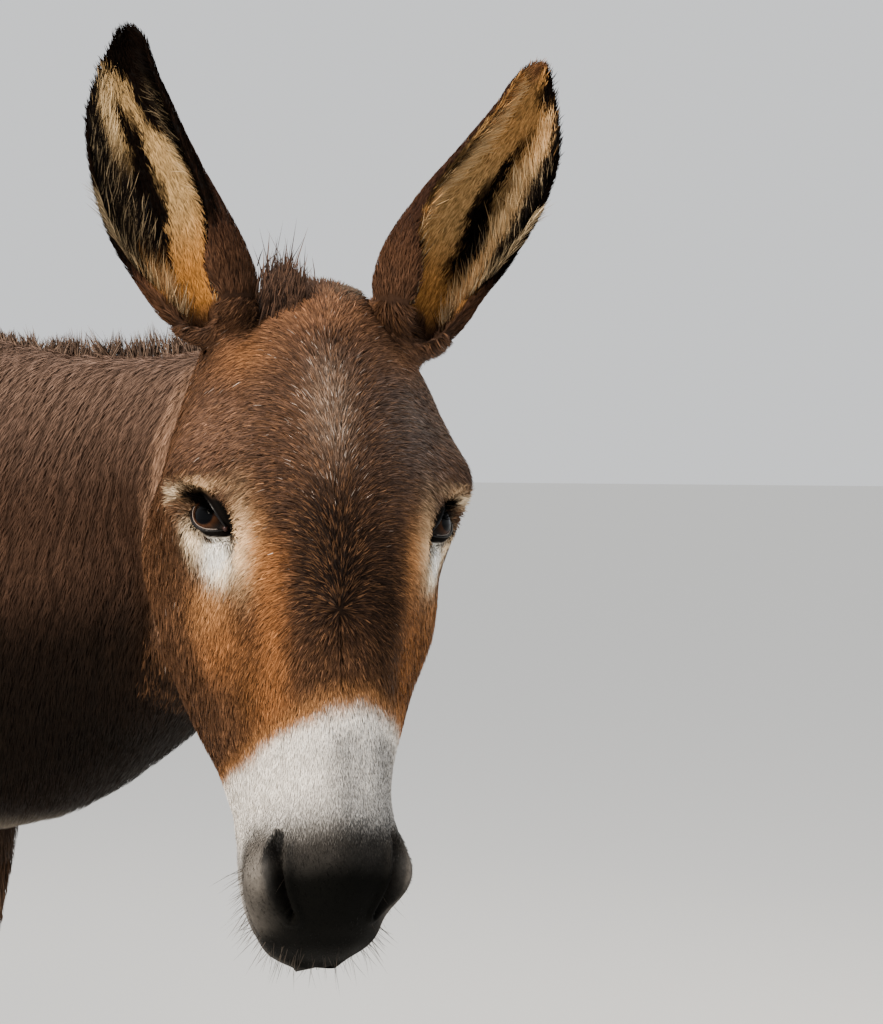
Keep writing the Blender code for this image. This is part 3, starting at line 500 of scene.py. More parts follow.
def earPoints(side, t, angle, reach):  # at shares t of the length, round its middle line from the back
    base, up, opening, across, outward = earAxes(side)
    aside = np.sin(angle) * reach + outward * ears[side]["bow"](t)
    ahead = earRadius(t, side) * ears["seat"] - np.cos(angle) * reach
    t = t * ears["length"] + 0 * angle
    return base + t[..., None] * up + aside[..., None] * across + ahead[..., None] * opening


def makeEar(side, along=120, arc=46):
    t = np.linspace(0, 0.995, along)[:, None]
    radius = earRadius(t, side)
    outer = np.radians(earWrap(t)) * np.linspace(-1, 1, arc)
    inner = outer[:, ::-1]
    wall = np.minimum(earThickness(t), radius * 0.5)
    ridge = 0.0012 * np.cos(inner * 5.0) * ramp(t, 0.1, 0.3)  # low ridges down the inside
    reach = np.concatenate([radius + 0 * outer, radius - wall + ridge], 1)
    rings = earPoints(side, t, np.concatenate([outer, inner], 1), reach)
    return closedLoft(f"earForm_{side}", fromHead(rings))


def makeEarRoot(side):
    base, up, opening, across, _ = earAxes(side)
    radius = curve(-55, 10, -42, 24, -15, 27, 10, 21, 34, 12)
    rings = [base + up * t - opening * (0.008 + 0.35 * max(-t, 0)) + circle(72, across, opening) * radius(t)
             for t in np.linspace(-0.055, 0.034, 48)]
    return closedLoft(f"earRoot_{side}", fromHead(rings))


skinShape = {
    "bodyVoxel": 0.007, "bodyRounds": 7,
    "coatDepth": 0.006, "legDepth": 0.0025, "tuck": 0.013, "behindJaw": 0.03,  # how far it lies under the coat
    "seam": 0.011, "seamRounds": 10, "earRoot": 0.052, "earRootRounds": 70,  # where the forms are blended
}


def treeOf(obj):
    return BVHTree.FromPolygons([v.co for v in obj.data.vertices], [p.vertices for p in obj.data.polygons])


def signedDistance(tree, points, reach):  # above 0 outside the form, reach where it is further away
    out = np.full(len(points), reach)
    for i, point in enumerate(points):
        place, normal, _, away = tree.find_nearest(point, reach)
        if place is not None:
            out[i] = math.copysign(away, (Vector(point) - place).dot(normal))
    return out


def makeBody(head):
    work = bmesh.new()
    for name in fleshNodes:
        work.from_mesh(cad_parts[name].data)
    body = meshPiece("bodyForm", [], [])
    work.to_mesh(body.data)
    work.free()
    remesh = body.modifiers.new("remesh", "REMESH")
    remesh.mode, remesh.voxel_size = "VOXEL", skinShape["bodyVoxel"]
    applied(body)
    smoothed(body, skinShape["bodyRounds"])
    vertices = body.data.vertices
    points, normals = readOut(vertices, "co", 3), readOut(vertices, "normal", 3)
    legDepth, coatDepth = skinShape["legDepth"], skinShape["coatDepth"]
    depth = legDepth + (coatDepth - legDepth) * ramp(points[:, 2], 0.42, 0.66)
    nearHead = np.linalg.norm(points - fromHead((0, 0.22, -0.1)), axis=1) < 0.42
    reach = 0.08
    away = np.full(len(points), reach)
    away[nearHead] = signedDistance(treeOf(head), points[nearHead], reach)
    tucked = ramp(away, 0.022, 0.007)
    behindJaw = hump(mirrored(toHead(points)), 122, 140, -238, 32, 85, 30)
    depth = depth + (skinShape["tuck"] - depth) * tucked + skinShape["behindJaw"] * behindJaw
    vertices.foreach_set("co", (points - normals * depth[:, None]).ravel())
    body.data.update()
    return body


def makeSkin():
    skin = makeHead()
    print("head form", len(skin.data.polygons))
    body = makeBody(skin)
    print("body form", len(body.data.polygons))
    tools = [make(side) for make in (makeEarRoot, makeEar) for side in sides] + [body]
    trees = [treeOf(obj) for obj in [skin] + tools]
    skin.name = "skin"
    for tool in tools:
        join = skin.modifiers.new("join", "BOOLEAN")
        join.operation, join.object, join.solver = "UNION", tool, "MANIFOLD"
        applied(skin)
        print("joined", tool.name, len(skin.data.polygons))
        bpy.data.objects.remove(tool)
    points = readOut(skin.data.vertices, "co", 3)
    reach = 0.02
    away = np.array([[tree.find_nearest(point, reach)[3] for tree in trees] for point in points], float)
    away = np.sort(np.nan_to_num(away, nan=reach), axis=1)
    seam = ramp(away[:, 1], skinShape["seam"], 0.002)  # where two forms meet
    half = mirrored(toHead(points))
    u, v, w = eyePlane(half)
    seam[(np.hypot(u, v) < 0.035) & (w > 0) | (half[:, 1] > 0.3)] = 0
    smoothed(skin, skinShape["seamRounds"], seam)
    roots = np.array([earAxes(side)[0] + earAxes(side)[2] * 0.01 for side in sides])
    away = np.linalg.norm(toHead(readOut(skin.data.vertices, "co", 3))[:, None] - roots, axis=2).min(1)
    return smoothed(skin, skinShape["earRootRounds"], ramp(away, skinShape["earRoot"], 0.03))


skin = makeSkin()
print("skin", len(skin.data.vertices), len(skin.data.polygons))

# The head lies beyond this cut, the neck behind it.
neckCut = {"point": middle + (-0.085, -0.727, 1.08), "normal": unit((-0.597, -0.751, -0.27))}
regionNames = ["body", "head", "ear_left", "ear_right", *legNames]
regionScale = {"body": 0.45, "head": 1.0, "ear_left": 1.0, "ear_right": 1.0, "legs": 0.6}


def pastCut(points):  # metres ahead of the cut between neck and head
    return (points - neckCut["point"]) @ neckCut["normal"]


def earSpot(points, side):  # share of the ear's length, then metres aside and ahead of its middle line
    base, up, opening, across, outward = earAxes(side)
    away = toHead(points) - base
    t = away @ up / ears["length"]
    ahead = away @ opening - earRadius(np.clip(t, 0, 1), side) * ears["seat"]
    return t, away @ across - outward * ears[side]["bow"](t), ahead


def inEar(points, side):
    t, u, v = earSpot(points, side)
    return (t > 0.05) & (t < 1.2) & (np.hypot(u, v) < earRadius(np.clip(t, 0, 1), side) * 1.25 + 0.006)


def regionsOf(points):
    region = np.where(pastCut(points) > 0, 1, 0)
    for i, side in enumerate(sides, 2):
        region[inEar(points, side)] = i
    for i, name in enumerate(legNames, 4):
        low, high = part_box(name)
        beside = (points[:, 0] > low.x - 0.03) & (points[:, 0] < high.x + 0.03) & (points[:, 2] < 0.6)
        region[beside & (points[:, 1] > low.y - 0.06) & (points[:, 1] < high.y + 0.06)] = i
    return region


def unwrap(obj):  # charts by region and by the way each face looks, laid in rows on one square
    mesh = obj.data
    points = readOut(mesh.vertices, "co", 3)
    count = len(mesh.polygons)
    centres, normals = readOut(mesh.polygons, "center", 3), readOut(mesh.polygons, "normal", 3)
    starts, totals = (readOut(mesh.polygons, key, kind=int) for key in ("loop_start", "loop_total"))
    corner = readOut(mesh.loops, "vertex_index", kind=int)
    region = regionsOf(centres)
    inHeadFrame = (region > 0) & (region < 4)
    local = np.where(inHeadFrame[:, None], normals @ axes, normals)
    side = np.abs(local).argmax(1)
    chart = region * 6 + side * 2 + (local[np.arange(count), side] > 0)
    owner = np.repeat(chart, totals)
    flat = np.zeros((len(corner), 2))
    sizes = {}
    for k in np.unique(chart):
        source = toHead(points) if k // 6 in (1, 2, 3) else points
        scale = regionScale.get(regionNames[k // 6], regionScale["legs"])
        mine = np.delete(source[corner[owner == k]], k % 6 // 2, 1) * scale
        flat[owner == k] = mine - mine.min(0)
        sizes[k] = flat[owner == k].max(0) + 0.006
    for wide in np.linspace(1.0, 3.0, 81):  # the narrowest square that holds all the rows
        x = y = row = 0.0
        places = {}
        for k in sorted(sizes, key=lambda k: -sizes[k][1]):
            if x + sizes[k][0] > wide:
                x, y, row = 0.0, y + row, 0.0
            places[k] = (x, y)
            x, row = x + sizes[k][0], max(row, sizes[k][1])
        if y + row <= wide and max(size[0] for size in sizes.values()) < wide:
            break
    for k, place in places.items():
        flat[owner == k] += np.array(place) + 0.003
    flat /= wide
    mesh.uv_layers.new(name="OFBake").uv.foreach_set("vector", flat.ravel())
    return {"uv": flat, "corner": corner, "starts": starts, "totals": totals, "centres": centres,
            "region": region}


skinMap = unwrap(skin)
print("skin mapped")

coatColours = {
    "cheek": "#4a3323", "forehead": "#3d2b20", "dark": "#0e0805", "poll": "#6f4c34", "swirl": "#2a1a10",
    "strand": "#5c402a", "fleck": "#94857a", "ginger": "#8e5f3a", "brow": "#6d5140", "temple": "#594f4a",
    # rim: a painted highlight, the lit rear edge of the cheek
    "grizzle": "#84705f", "umber": "#543519", "orange": "#8d5b33", "fox": "#bb8351", "rim": "#967660",
    "sand": "#dcb68a", "cream": "#f4dcb8", "white": "#fffaf0", "muzzle": "#f2ebe1", "muzzleGrey": "#9c9a97",
    "nose": "#040403", "noseTop": "#393531", "wing": "#6d6862", "lip": "#0c0a08", "lid": "#070504",
    # neckTopLit and neckUnderShade: painted light on the neck's top, painted shade under the neck and below the
    # jaw
    "neck": "#3c2b21", "neckTopLit": "#6d574a", "neckUnderShade": "#0f0905", "belly": "#cdbfab", "leg": "#6a5443",
    "shank": "#a89a8b", "cross": "#22170f", "tail": "#4a3627", "earBack": "#33221a", "earTan": "#7d5638",
    "earDark": "#0b0705", "earCream": "#a08358", "earGold": "#a06d35",
}
# Marks on the head: centre and reach in millimetres, strength and colour; beyond 30 mm on both sides.
headMarks = [
    (5, 20, 0, 46, 24, 60, 0.85, "poll"), (56, 55, -10, 18, 18, 40, 0.6, "ginger"),
    (51, 20, -10, 10, 14, 30, 0.75, "dark"), (80, 105, -10, 26, 42, 34, 0.6, "brow"),
    (-60, 110, -10, 34, 55, 40, 0.85, "temple"), (-2, 48, 10, 12, 8, 20, 0.95, "swirl"),
    (3, 105, 15, 13, 42, 20, 0.5, "grizzle"), (2, 228, 4, 28, 42, 40, 0.95, "dark"),
    (-32, 250, -5, 14, 44, 30, 0.8, "dark"), (10, 190, 10, 26, 32, 22, 0.8, "dark"),
    (78, 262, -45, 22, 24, 30, 0.72, "orange"), (84, 228, -45, 18, 20, 30, 0.6, "fox"),
    (59, 300, -40, 10, 30, 30, 0.7, "umber"), (-66, 275, -35, 24, 45, 50, 0.75, "umber"),
    (88, 284, -110, 20, 40, 30, 0.4, "swirl"), (54, 205, -2, 8, 30, 16, 0.8, "fox"),
    (65, 195, -6, 8, 32, 16, 1.05, "sand"), (92, 151, -22, 19, 5.5, 20, 1.00, "sand"),
    (108, 151, -38, 4, 4.5, 7, 0.8, "cream"), (80, 206, -26, 13, 13, 16, 1.2, "cream"),
    (97, 186, -42, 8, 14, 12, 1.1, "cream"), (83, 199, -28, 12, 10.5, 14, 1.6, "white"),
]


def layered(name, *coats):  # a colour or its name under coats of a mask and a name, the last one on top
    colour = linear(coatColours[name]) if isinstance(name, str) else name
    for mask, over in coats:
        colour = blend(colour, linear(coatColours[over]), mask)
    return colour


def headColours(q, grain):
    half = mirrored(q)
    x, y, z = q.T
    colour = layered("cheek", (ramp(z + grain * 0.01, -0.06, -0.015) * ramp(y, 0.31, 0.24), "forehead"))
    for *spot, share, name in headMarks:
        mark = hump(half if spot[0] > 30 else q, *spot)
        colour = layered(colour, (np.clip(share * mark, 0, 1), name))
    streak = bell(x, 0.043, 0.01) + 0.6 * bell(x, -0.057, 0.009)  # down both sides of the dark nose ridge
    streak *= window(y, 0.185, 0.215, 0.31, 0.34)
    edge = 0.319 + 0.42 * np.maximum(x - 0.012, 0) + 0.3 * np.maximum(x - 0.035, 0) + 0.006 * grain
    edge += 0.12 * np.maximum(-x - 0.025, 0) - 0.007 * bell(x, -0.018, 0.016)  # of the pale muzzle
    # painted shade: grey down the middle of the muzzle and over its left half, the side turned away from the
    # key light
    middle = (bell(x, -0.002, 0.014) + ramp(x, -0.015, -0.035)) * ramp(y, 0.325, 0.345)
    low = y - 0.004 + 0.1 * np.maximum(0.026 - np.abs(x), 0) + 0.004 * grain
    low -= 0.012 * ramp(z, -0.07, -0.11)
    above = ramp(z, -0.12, -0.105)
    wing = hump(half, 58, 420, -55, 9, 24, 26) + 0.7 * hump(half, 50, 448, -85, 14, 26, 18)
    near, u, v, _ = eyeZone(half)
    shade = np.zeros(len(q))
    wide, soft = lidBand(u, v)
    shade[near] = np.maximum(ramp(fromLids(u, v), wide + soft, wide - soft * 0.4), troughLine(u, v))
    return layered(
        colour, (0.8 * streak, "orange"), (ramp(y, edge - 0.026, edge + 0.002) * 0.65, "fox"),
        (ramp(y, edge - 0.008, edge + 0.01), "muzzle"), (0.75 * middle, "muzzleGrey"),
        (0.85 * ramp(low, 0.366, 0.405), "muzzleGrey"), (0.92 * ramp(low, 0.384, 0.412) * above, "noseTop"),
        (ramp(low, 0.39, 0.436) * above, "nose"), (np.clip(wing, 0, 0.9), "wing"),
        (ramp(y, 0.455, 0.478), "nose"), (0.7 * ramp(y, 0.36, 0.4) * ramp(z, -0.105, -0.13), "muzzleGrey"),
        (ramp(y, 0.435, 0.462) * ramp(z, -0.105, -0.12), "lip"), (shade, "lid"))


def bodyColours(points, grain):
    x, y, z = points.T
    under = ramp(z + 0.02 * grain, 0.66, 0.61) * window(y, -0.2, -0.1, 0.32, 0.44)
    inner = ramp(np.abs(x) + 0.004 * grain, 0.058, 0.036) * ramp(z, 0.68, 0.6)
    cross = bell(x, 0, 0.011) * ramp(z, 0.95, 1.02) * ramp(y, -0.35, -0.2)
    cross += bell(y + 0.06 * np.abs(x), -0.115, 0.013) * ramp(z, 0.86, 0.95)
    # painted light and shade: the neck is lighter along its top and dark underneath
    return layered(
        "neck", (0.85 * ramp(z, 0.93, 1.08) * ramp(y, 0.1, -0.2), "neckTopLit"),
        (0.95 * ramp(z, 0.9, 0.74) * ramp(y, -0.1, -0.3), "neckUnderShade"),
        (np.clip(under + inner, 0, 1), "belly"), (0.85 * np.clip(cross, 0, 1), "cross"),
        (ramp(z + 0.02 * grain, 0.66, 0.44) * (1 - 0.7 * inner), "leg"),
        (ramp(z + 0.015 * grain, 0.4, 0.24), "shank"), (0.6 * ramp(z, 0.12, 0.07), "leg"),
        (ramp(y, 0.7, 0.72) * ramp(z, 0.55, 0.6), "tail"))


# Bands across each ear, outward from the back's middle line, along its length, and strengths of its tones.
earBands = {
    "right": {
        "groove": (shareCurve(20, 40, 30, 31, 42, 18, 55, 6, 70, 5, 85, 18),  # inner and outer edge
                   shareCurve(20, 45, 30, 75, 50, 70, 60, 27, 70, 21, 86, 24)),
        "medial": shareCurve(42, -70, 60, -36, 70, -6, 80, 4, 88, 10, 95, 40),
        "light": 0.85, "low": 0.9, "edging": 0.0115,
    },
    "left": {
        "groove": (shareCurve(20, 28, 30, 22, 40, 16, 50, 8, 60, 6, 75, 10, 86, 18),
                   shareCurve(20, 50, 30, 54, 40, 46, 50, 30, 60, 17, 75, 16, 86, 18)),
        "medial": shareCurve(30, -90, 60, -78, 90, -40),
        "light": 1.25, "low": 0.54, "edging": 0.0055,
    },
}


def earColours(points, normals, side, grain):
    _, _, opening, across, outward = earAxes(side)
    right, bands = side == "right", earBands[side]
    t, u, v = earSpot(points, side)
    along, angle = np.clip(t, 0, 1), np.arctan2(u, -v)
    local = normals @ axes
    facing = -(local @ across * u + local @ opening * v) / np.maximum(np.hypot(u, v), 1e-6)
    inside = ramp(facing, -0.2, 0.3)
    radius = earRadius(along, side)
    toRim = (np.radians(earWrap(along)) - np.abs(angle)) * radius  # distance to the nearer edge
    streak = np.sin(angle * 21 + 3 * np.sin(t * 8)) * np.sin(t * 27 + angle * 6 + 1)  # ragged along the hair
    over = angle * outward * radius + grain * 0.004 + streak * 0.003
    back = layered(
        "earBack", (0.6 * ramp(t, 0.34, 0.08), "cheek"),
        (ramp(toRim, 0.014, 0.005) * (1 - inside) * ramp(t, 0.15, 0.3) * (right | (over > 0)), "earDark"))
    if right:
        back = layered(back, (ramp(t + grain * 0.02, 0.66, 0.82) * (1 - inside), "earDark"))
        gold = ramp(t, 0.5, 0.22)
    else:
        back = layered(back, (0.75 * ramp(t, 0.25, 0.6) * ramp(toRim, 0.01, 0.02), "earTan"))
        gold = 0.35 + 0.5 * ramp(t, 0.45, 0.2) + 0.3 * ramp(t, 0.6, 0.8)
    grooveInner, grooveOuter, medial = (line(t) for line in (*bands["groove"], bands["medial"]))
    low = bands["low"] * ramp(over, grooveInner, grooveInner + 0.02)
    low *= window(t, 0.15, 0.28, 0.58, 0.74)
    groove = ramp(over, grooveInner - 0.003, grooveInner + 0.003) * ramp(t, 0.88, 0.8)
    groove *= ramp(over, grooveOuter + 0.004, grooveOuter - 0.003) * ramp(t, 0.18, 0.3)
    wide = 0.0035 + bands["edging"] * window(t, 0.14, 0.34, 0.66, 0.84) * (over > 0)
    edging = ramp(toRim + grain * 0.002, wide + 0.003, wide - 0.001) * ramp(t, 0.1, 0.2)
    if not right:  # its inner edge is dark only half way up
        edging *= np.where(over > 0, 1, 0.8 * window(t, 0.3, 0.4, 0.55, 0.66))
    lining = layered("earCream", (np.clip(gold, 0, 1), "earGold")) * bands["light"]
    lining = layered(lining, (low, "earDark"), (groove, "earDark"), (edging, "earDark"),
                     (ramp(over, medial + 0.004, medial - 0.004), "earDark"))
    if not right:
        lining = layered(lining, (ramp(t, 0.9, 0.96) * ramp(over, 0.006, -0.004), "earTan"),
                         (ramp(t, 0.86, 0.91) * ramp(over, 0.004, 0.012), "earDark"))
    return blend(back, lining, inside)


def grainOf(points):  # a slow even waver from -1 to 1 that roughens the edges of the markings
    coarse, fine = points * 62.0, points * 230.0  # waves of about 10 cm and 3 cm
    waver = np.sin(coarse @ (1.0, 0.7, 0.2)) + np.sin(coarse @ (-0.6, 1.1, 0.9) + 1.3)
    waver += np.sin(coarse @ (0.3, -0.8, 1.6) + 4.1)
    return waver / 4 + 0.25 * np.sin(fine @ (0.9, 0.3, -0.7)) * np.sin(fine @ (-0.4, 1.0, 0.5) + 2)


cheekRim = curve(0, -150, 50, -163, 100, -183, 144, -202, 174, -216, 209, -237, 241, -276)  # its rear edge, along which a lit rim is painted; the throat below it is painted in shade


def markings(points, normals):
    grain, q = grainOf(points), toHead(points)
    share = ramp(pastCut(points) + grain * 0.01, -0.035, 0.03)
    colour = blend(bodyColours(points, grain), headColours(q, grain), share)
    x, y, z = q.T
    edge = cheekRim(y)
    lowEdge = edge + 0.026 * ramp(y, 0.2, 0.235)
    # painted shade: the throat below and behind the cheek's edge is painted dark, the shadow under the jaw
    throat = ramp(z, lowEdge - 0.006, lowEdge - 0.026) * ramp(z, -0.42, -0.33)
    throat *= window(y, 0.13, 0.2, 0.34, 0.42)
    # painted highlight: a pale line along the cheek's rear edge, the cheek's lit rim against the neck
    rim = bell(z - edge, -0.003 * grain, 0.009) * ramp(y, -0.02, 0.03)
    rim *= ramp(y, 0.215, 0.18) * ramp(np.abs(x), 0.05, 0.07)
    colour = layered(colour, (0.85 * throat, "neckUnderShade"), (0.75 * rim, "rim"))
    for side in sides:
        own = inEar(points, side)
        if own.any():
            share = ramp(earSpot(points[own], side)[0], 0.06, 0.16)
            colour[own] = blend(colour[own], earColours(points[own], normals[own], side, grain[own]), share)
    return colour


def bareness(points):  # 1 on the nose leather and the lids, 0 under the coat
    half = mirrored(toHead(points))
    near, u, v, _ = eyeZone(half)
    bare = ramp(half[:, 1], 0.4, 0.44)
    bare[near] = np.maximum(ramp(fromLids(u, v), 0.007, 0.004), troughLine(u, v))
    return bare[:, None]


def paint(obj, colours):
    layer = obj.data.color_attributes.new(name="coat", type="FLOAT_COLOR", domain="POINT")
    layer.data.foreach_set("color", np.concatenate([colours, np.ones((len(colours), 1))], 1).ravel())


skinPoints, skinNormals = readOut(skin.data.vertices, "co", 3), readOut(skin.data.vertices, "normal", 3)
# painted shade: the skin under the coat is painted at 0.45 of its colour so the gaps between the tufts look
# shaded; the bare nose and lids keep their full colour
paint(skin, markings(skinPoints, skinNormals) * (0.45 + 0.55 * bareness(skinPoints)))
print("skin painted")

whorlPlace = 0.25  # along the head, where its coat parts


def lieOf(points, normals, region):  # which way the coat lies
    q = toHead(points)
    a, sign, ones = np.abs(q[:, 0]), np.sign(q[:, 0]), np.ones(len(q))
    fromWhorl = np.arctan2(a, whorlPlace - q[:, 1]) / math.pi  # 0 towards the poll, 1 towards the lips
    bent = 1 - (1 - fromWhorl) * (1 - 0.5 * np.minimum(a / 0.052, 1.45) ** 0.8)  # it arches over to the sides
    turn = math.pi * np.clip(bent, 0, 0.93)
    fan = np.stack([np.sin(turn) * sign, -np.cos(turn), -0.55 * np.sin(turn)], 1)
    down = unit(np.stack([0.1 * sign, 0.85 * ones, -0.4 * ones], 1))
    cheek = ramp(a, 0.06, 0.09) * ramp(q[:, 1], 0.165, 0.23) + ramp(q[:, 2], -0.045, -0.1)
    onHead = unit(blend(fan, down, np.clip(cheek, 0, 1)))
    onHead = unit(blend(onHead, (0, 1.0, -0.1), ramp(q[:, 1], 0.28, 0.34)))
    u, v, w = eyePlane(mirrored(q))
    aside = unit(inPlane(u * 0.5, eyeSlit, v + 0.001, eyeUp)) + 0.35 * eyeSlit
    aside *= np.stack([sign, ones, ones], 1)
    nearEye = ramp(np.hypot(u * 0.8, v * 1.2), 0.034, 0.021) * (w > 0)
    onHead = unit(blend(onHead, aside, nearEye)) @ axes.T
    _, y, z = points.T
    onTrunk = blend((0.0, 0.8, -0.6), (0.0, 1.0, -0.15), ramp(z, 0.95, 1.08))
    onBody = blend(unit((0.03, 0.2, -0.97)), onTrunk, ramp(y, -0.35, -0.05))
    onBody = blend(onBody, (0.0, 0.12, -1.0), ramp(z, 0.66, 0.52))
    onBody = blend(onBody, (0.0, 0.05, -1.0), ramp(y, 0.69, 0.73))
    way = blend(onBody, onHead, ramp(pastCut(points), -0.04, 0.02))
    for i, side in enumerate(sides, 2):
        way[region == i] = axes @ earAxes(side)[1]
    return unit(way - normals * (way * normals).sum(1, keepdims=True))


def rooted(count, density, seed):  # spots spread over the skin by area and density
    dice = np.random.default_rng(seed)
    weight = readOut(skin.data.polygons, "area") * density
    face = dice.choice(len(weight), count, p=weight / weight.sum())
    first = dice.integers(0, np.maximum(skinMap["totals"][face] - 2, 1))  # which triangle of the face's fan
    loops = skinMap["starts"][face][:, None] + np.stack([0 * first, 1 + first, 2 + first], 1)
    share = dice.random((count, 2))
    over = share.sum(1) > 1
    share[over] = 1 - share[over]
    share = np.stack([1 - share.sum(1), share[:, 0], share[:, 1]], 1)[..., None]
    corners = skinMap["corner"][loops]
    points, normals = (skinPoints[corners] * share).sum(1), unit((skinNormals[corners] * share).sum(1))
    return points, normals, (skinMap["uv"][loops] * share).sum(1), skinMap["region"][face], dice


def growTufts(name, dice, points, normals, uv, look):  # two faces each: a strip and its pointed tip
    count = len(points)
    length = (look["length"] * dice.uniform(0.7, 1.25, count))[:, None]
    stray, vary = look["stray"], look["vary"]
    way = unit(look["way"] + np.cross(look["way"], normals) * dice.normal(0, stray, count)[:, None])
    side = unit(np.cross(way, normals))
    lift = (look["lift"] * dice.uniform(0.55, 1.35, count))[:, None]
    bend = side * dice.normal(0, stray * 0.5, count)[:, None]
    roll = dice.normal(0, 0.35, count)[:, None]
    half = (look["width"] * dice.uniform(0.7, 1.2, count) / 2)[:, None]
    half = half * (side * np.cos(roll) + normals * np.sin(roll))
    root = points - normals * 0.0006
    middle = points + (way * 0.5 + bend * 0.2) * length + normals * (lift * 0.75)
    tip = points + (way + bend) * length + normals * lift
    shape = np.stack([root - half, root + half, middle + half * 0.8, middle - half * 0.8, tip], 1)
    mesh = bpy.data.meshes.new(name)
    mesh.vertices.add(count * 5)
    mesh.vertices.foreach_set("co", shape.ravel())
    mesh.loops.add(count * 7)
    mesh.loops.foreach_set("vertex_index", (np.arange(count)[:, None] * 5 + (0, 1, 2, 3, 3, 2, 4)).ravel())
    mesh.polygons.add(count * 2)
    mesh.polygons.foreach_set("loop_start", (np.arange(count)[:, None] * 7 + (0, 4)).ravel())
    mesh.update(calc_edges=True)
    patch = np.array([(-1, -1), (1, -1), (1, 0), (-1, 0), (-1, 0), (1, 0), (0, 1)]) * 0.0014
    mesh.uv_layers.new(name="OFBake").uv.foreach_set("vector", (uv[:, None] + patch[None]).ravel())
    tone = np.exp(dice.normal(0, vary, count) - vary ** 2 / 2)[:, None, None]
    # painted shade: each tuft is darker at its root, where the tufts shade each other, and lighter at its tip;
    # depth weakens it
    along = np.array(look["shadeRootToTip"])[None, :, None] ** np.reshape(look.get("depth", 1.0), (-1, 1, 1))
    obj = linked(name, mesh)
    paint(obj, np.clip(np.reshape(look["colours"], (-1, 1, 3)) * tone * along, 0, 1).reshape(-1, 3))
    lean = unit(normals + way * 0.25 + side * (roll * -0.6) + dice.normal(0, 0.12, (count, 3)))
    mesh.shade_smooth()
    mesh.normals_split_custom_set_from_vertices(np.repeat(lean, 5, 0).tolist())
    return obj


coatPieces = {  # tufts and seed of each piece
    "coat_forehead_right": (62000, 11), "coat_forehead_left": (60000, 12), "coat_cheek_right": (42000, 13),
    "coat_cheek_left": (36000, 14), "coat_ear_right": (30000, 15), "coat_ear_left": (30000, 16),
    "coat_neck": (65000, 17), "coat_throat": (56000, 21), "coat_trunk_left": (36000, 18),
    "coat_trunk_right": (36000, 19), "coat_legs": (34000, 20),
}
coatLooks = {  # size in metres, painted shade from root to tip (darker roots where the tufts shade each other, lighter tips); the head's tufts change in size from place to place
    "all": {"stray": 0.14, "vary": 0.2, "shadeRootToTip": [0.36, 0.36, 0.86, 0.86, 1.3]},
    "ear": {"length": 0.0085, "width": 0.0009, "lift": 0.0014},
    "neck": {"length": 0.0125, "width": 0.00075, "shadeRootToTip": [0.66, 0.66, 0.92, 0.92, 1.12],
             "vary": 0.12, "stray": 0.1},
    "trunk": {"length": 0.024, "width": 0.0024, "lift": 0.0038, "shadeRootToTip": [0.55, 0.55, 0.9, 0.9, 1.15]},
    "legs": {"length": 0.013, "width": 0.0022, "lift": 0.002},
}
coatLooks["throat"] = coatLooks["neck"]  # they part at X = -0.06


def coatDensity(kind, right, places, region):
    q = toHead(places)
    if kind in ("forehead", "cheek"):
        own = (region == 1) & ((q[:, 2] > -0.075) == (kind == "forehead")) & ((q[:, 0] > 0) == right)
        return own * (1 - 0.96 * ramp(q[:, 1], 0.395, 0.438))
    if kind in ("ear", "legs"):
        return 1.0 * (region >= 4 if kind == "legs" else region == 2 + right)
    front = (pastCut(places) > -0.42) & (places[:, 1] < -0.12)
    if kind == "trunk":
        return (region == 0) * ~front * 1.0 * ((places[:, 0] <= 0) == right)
    return (region == 0) * front * (places[:, 2] > 0.6) * 1.0 * ((places[:, 0] > -0.06) == (kind == "neck"))


def uncovered(half):  # tufts keep off the eyeballs and the nostrils' insides
    near, u, v, _ = eyeZone(half)
    keep = np.ones(len(half), bool)
    keep[near] = (fromLids(u, v) > lidBand(u, v)[0]) & (troughLine(u, v) < 0.35)
    nose = half[:, 1] > 0.38
    away, slit, _ = fromNostril(half[nose])
    keep[nose] &= away > slit
    return keep


def waves(points):  # soft upright folds where the neck's coat parts into locks
    x, y, z = points.T
    place = y + x * 0.35 + 0.12 * z
    fold = place + 0.006 * np.sin(z * 31) + 0.004 * np.sin(z * 77 + place * 60)
    return 0.5 + 0.5 * np.sin(fold * 430) * (0.6 + 0.4 * np.sin(fold * 131 + 2)) * ramp(z, 0.72, 0.9)


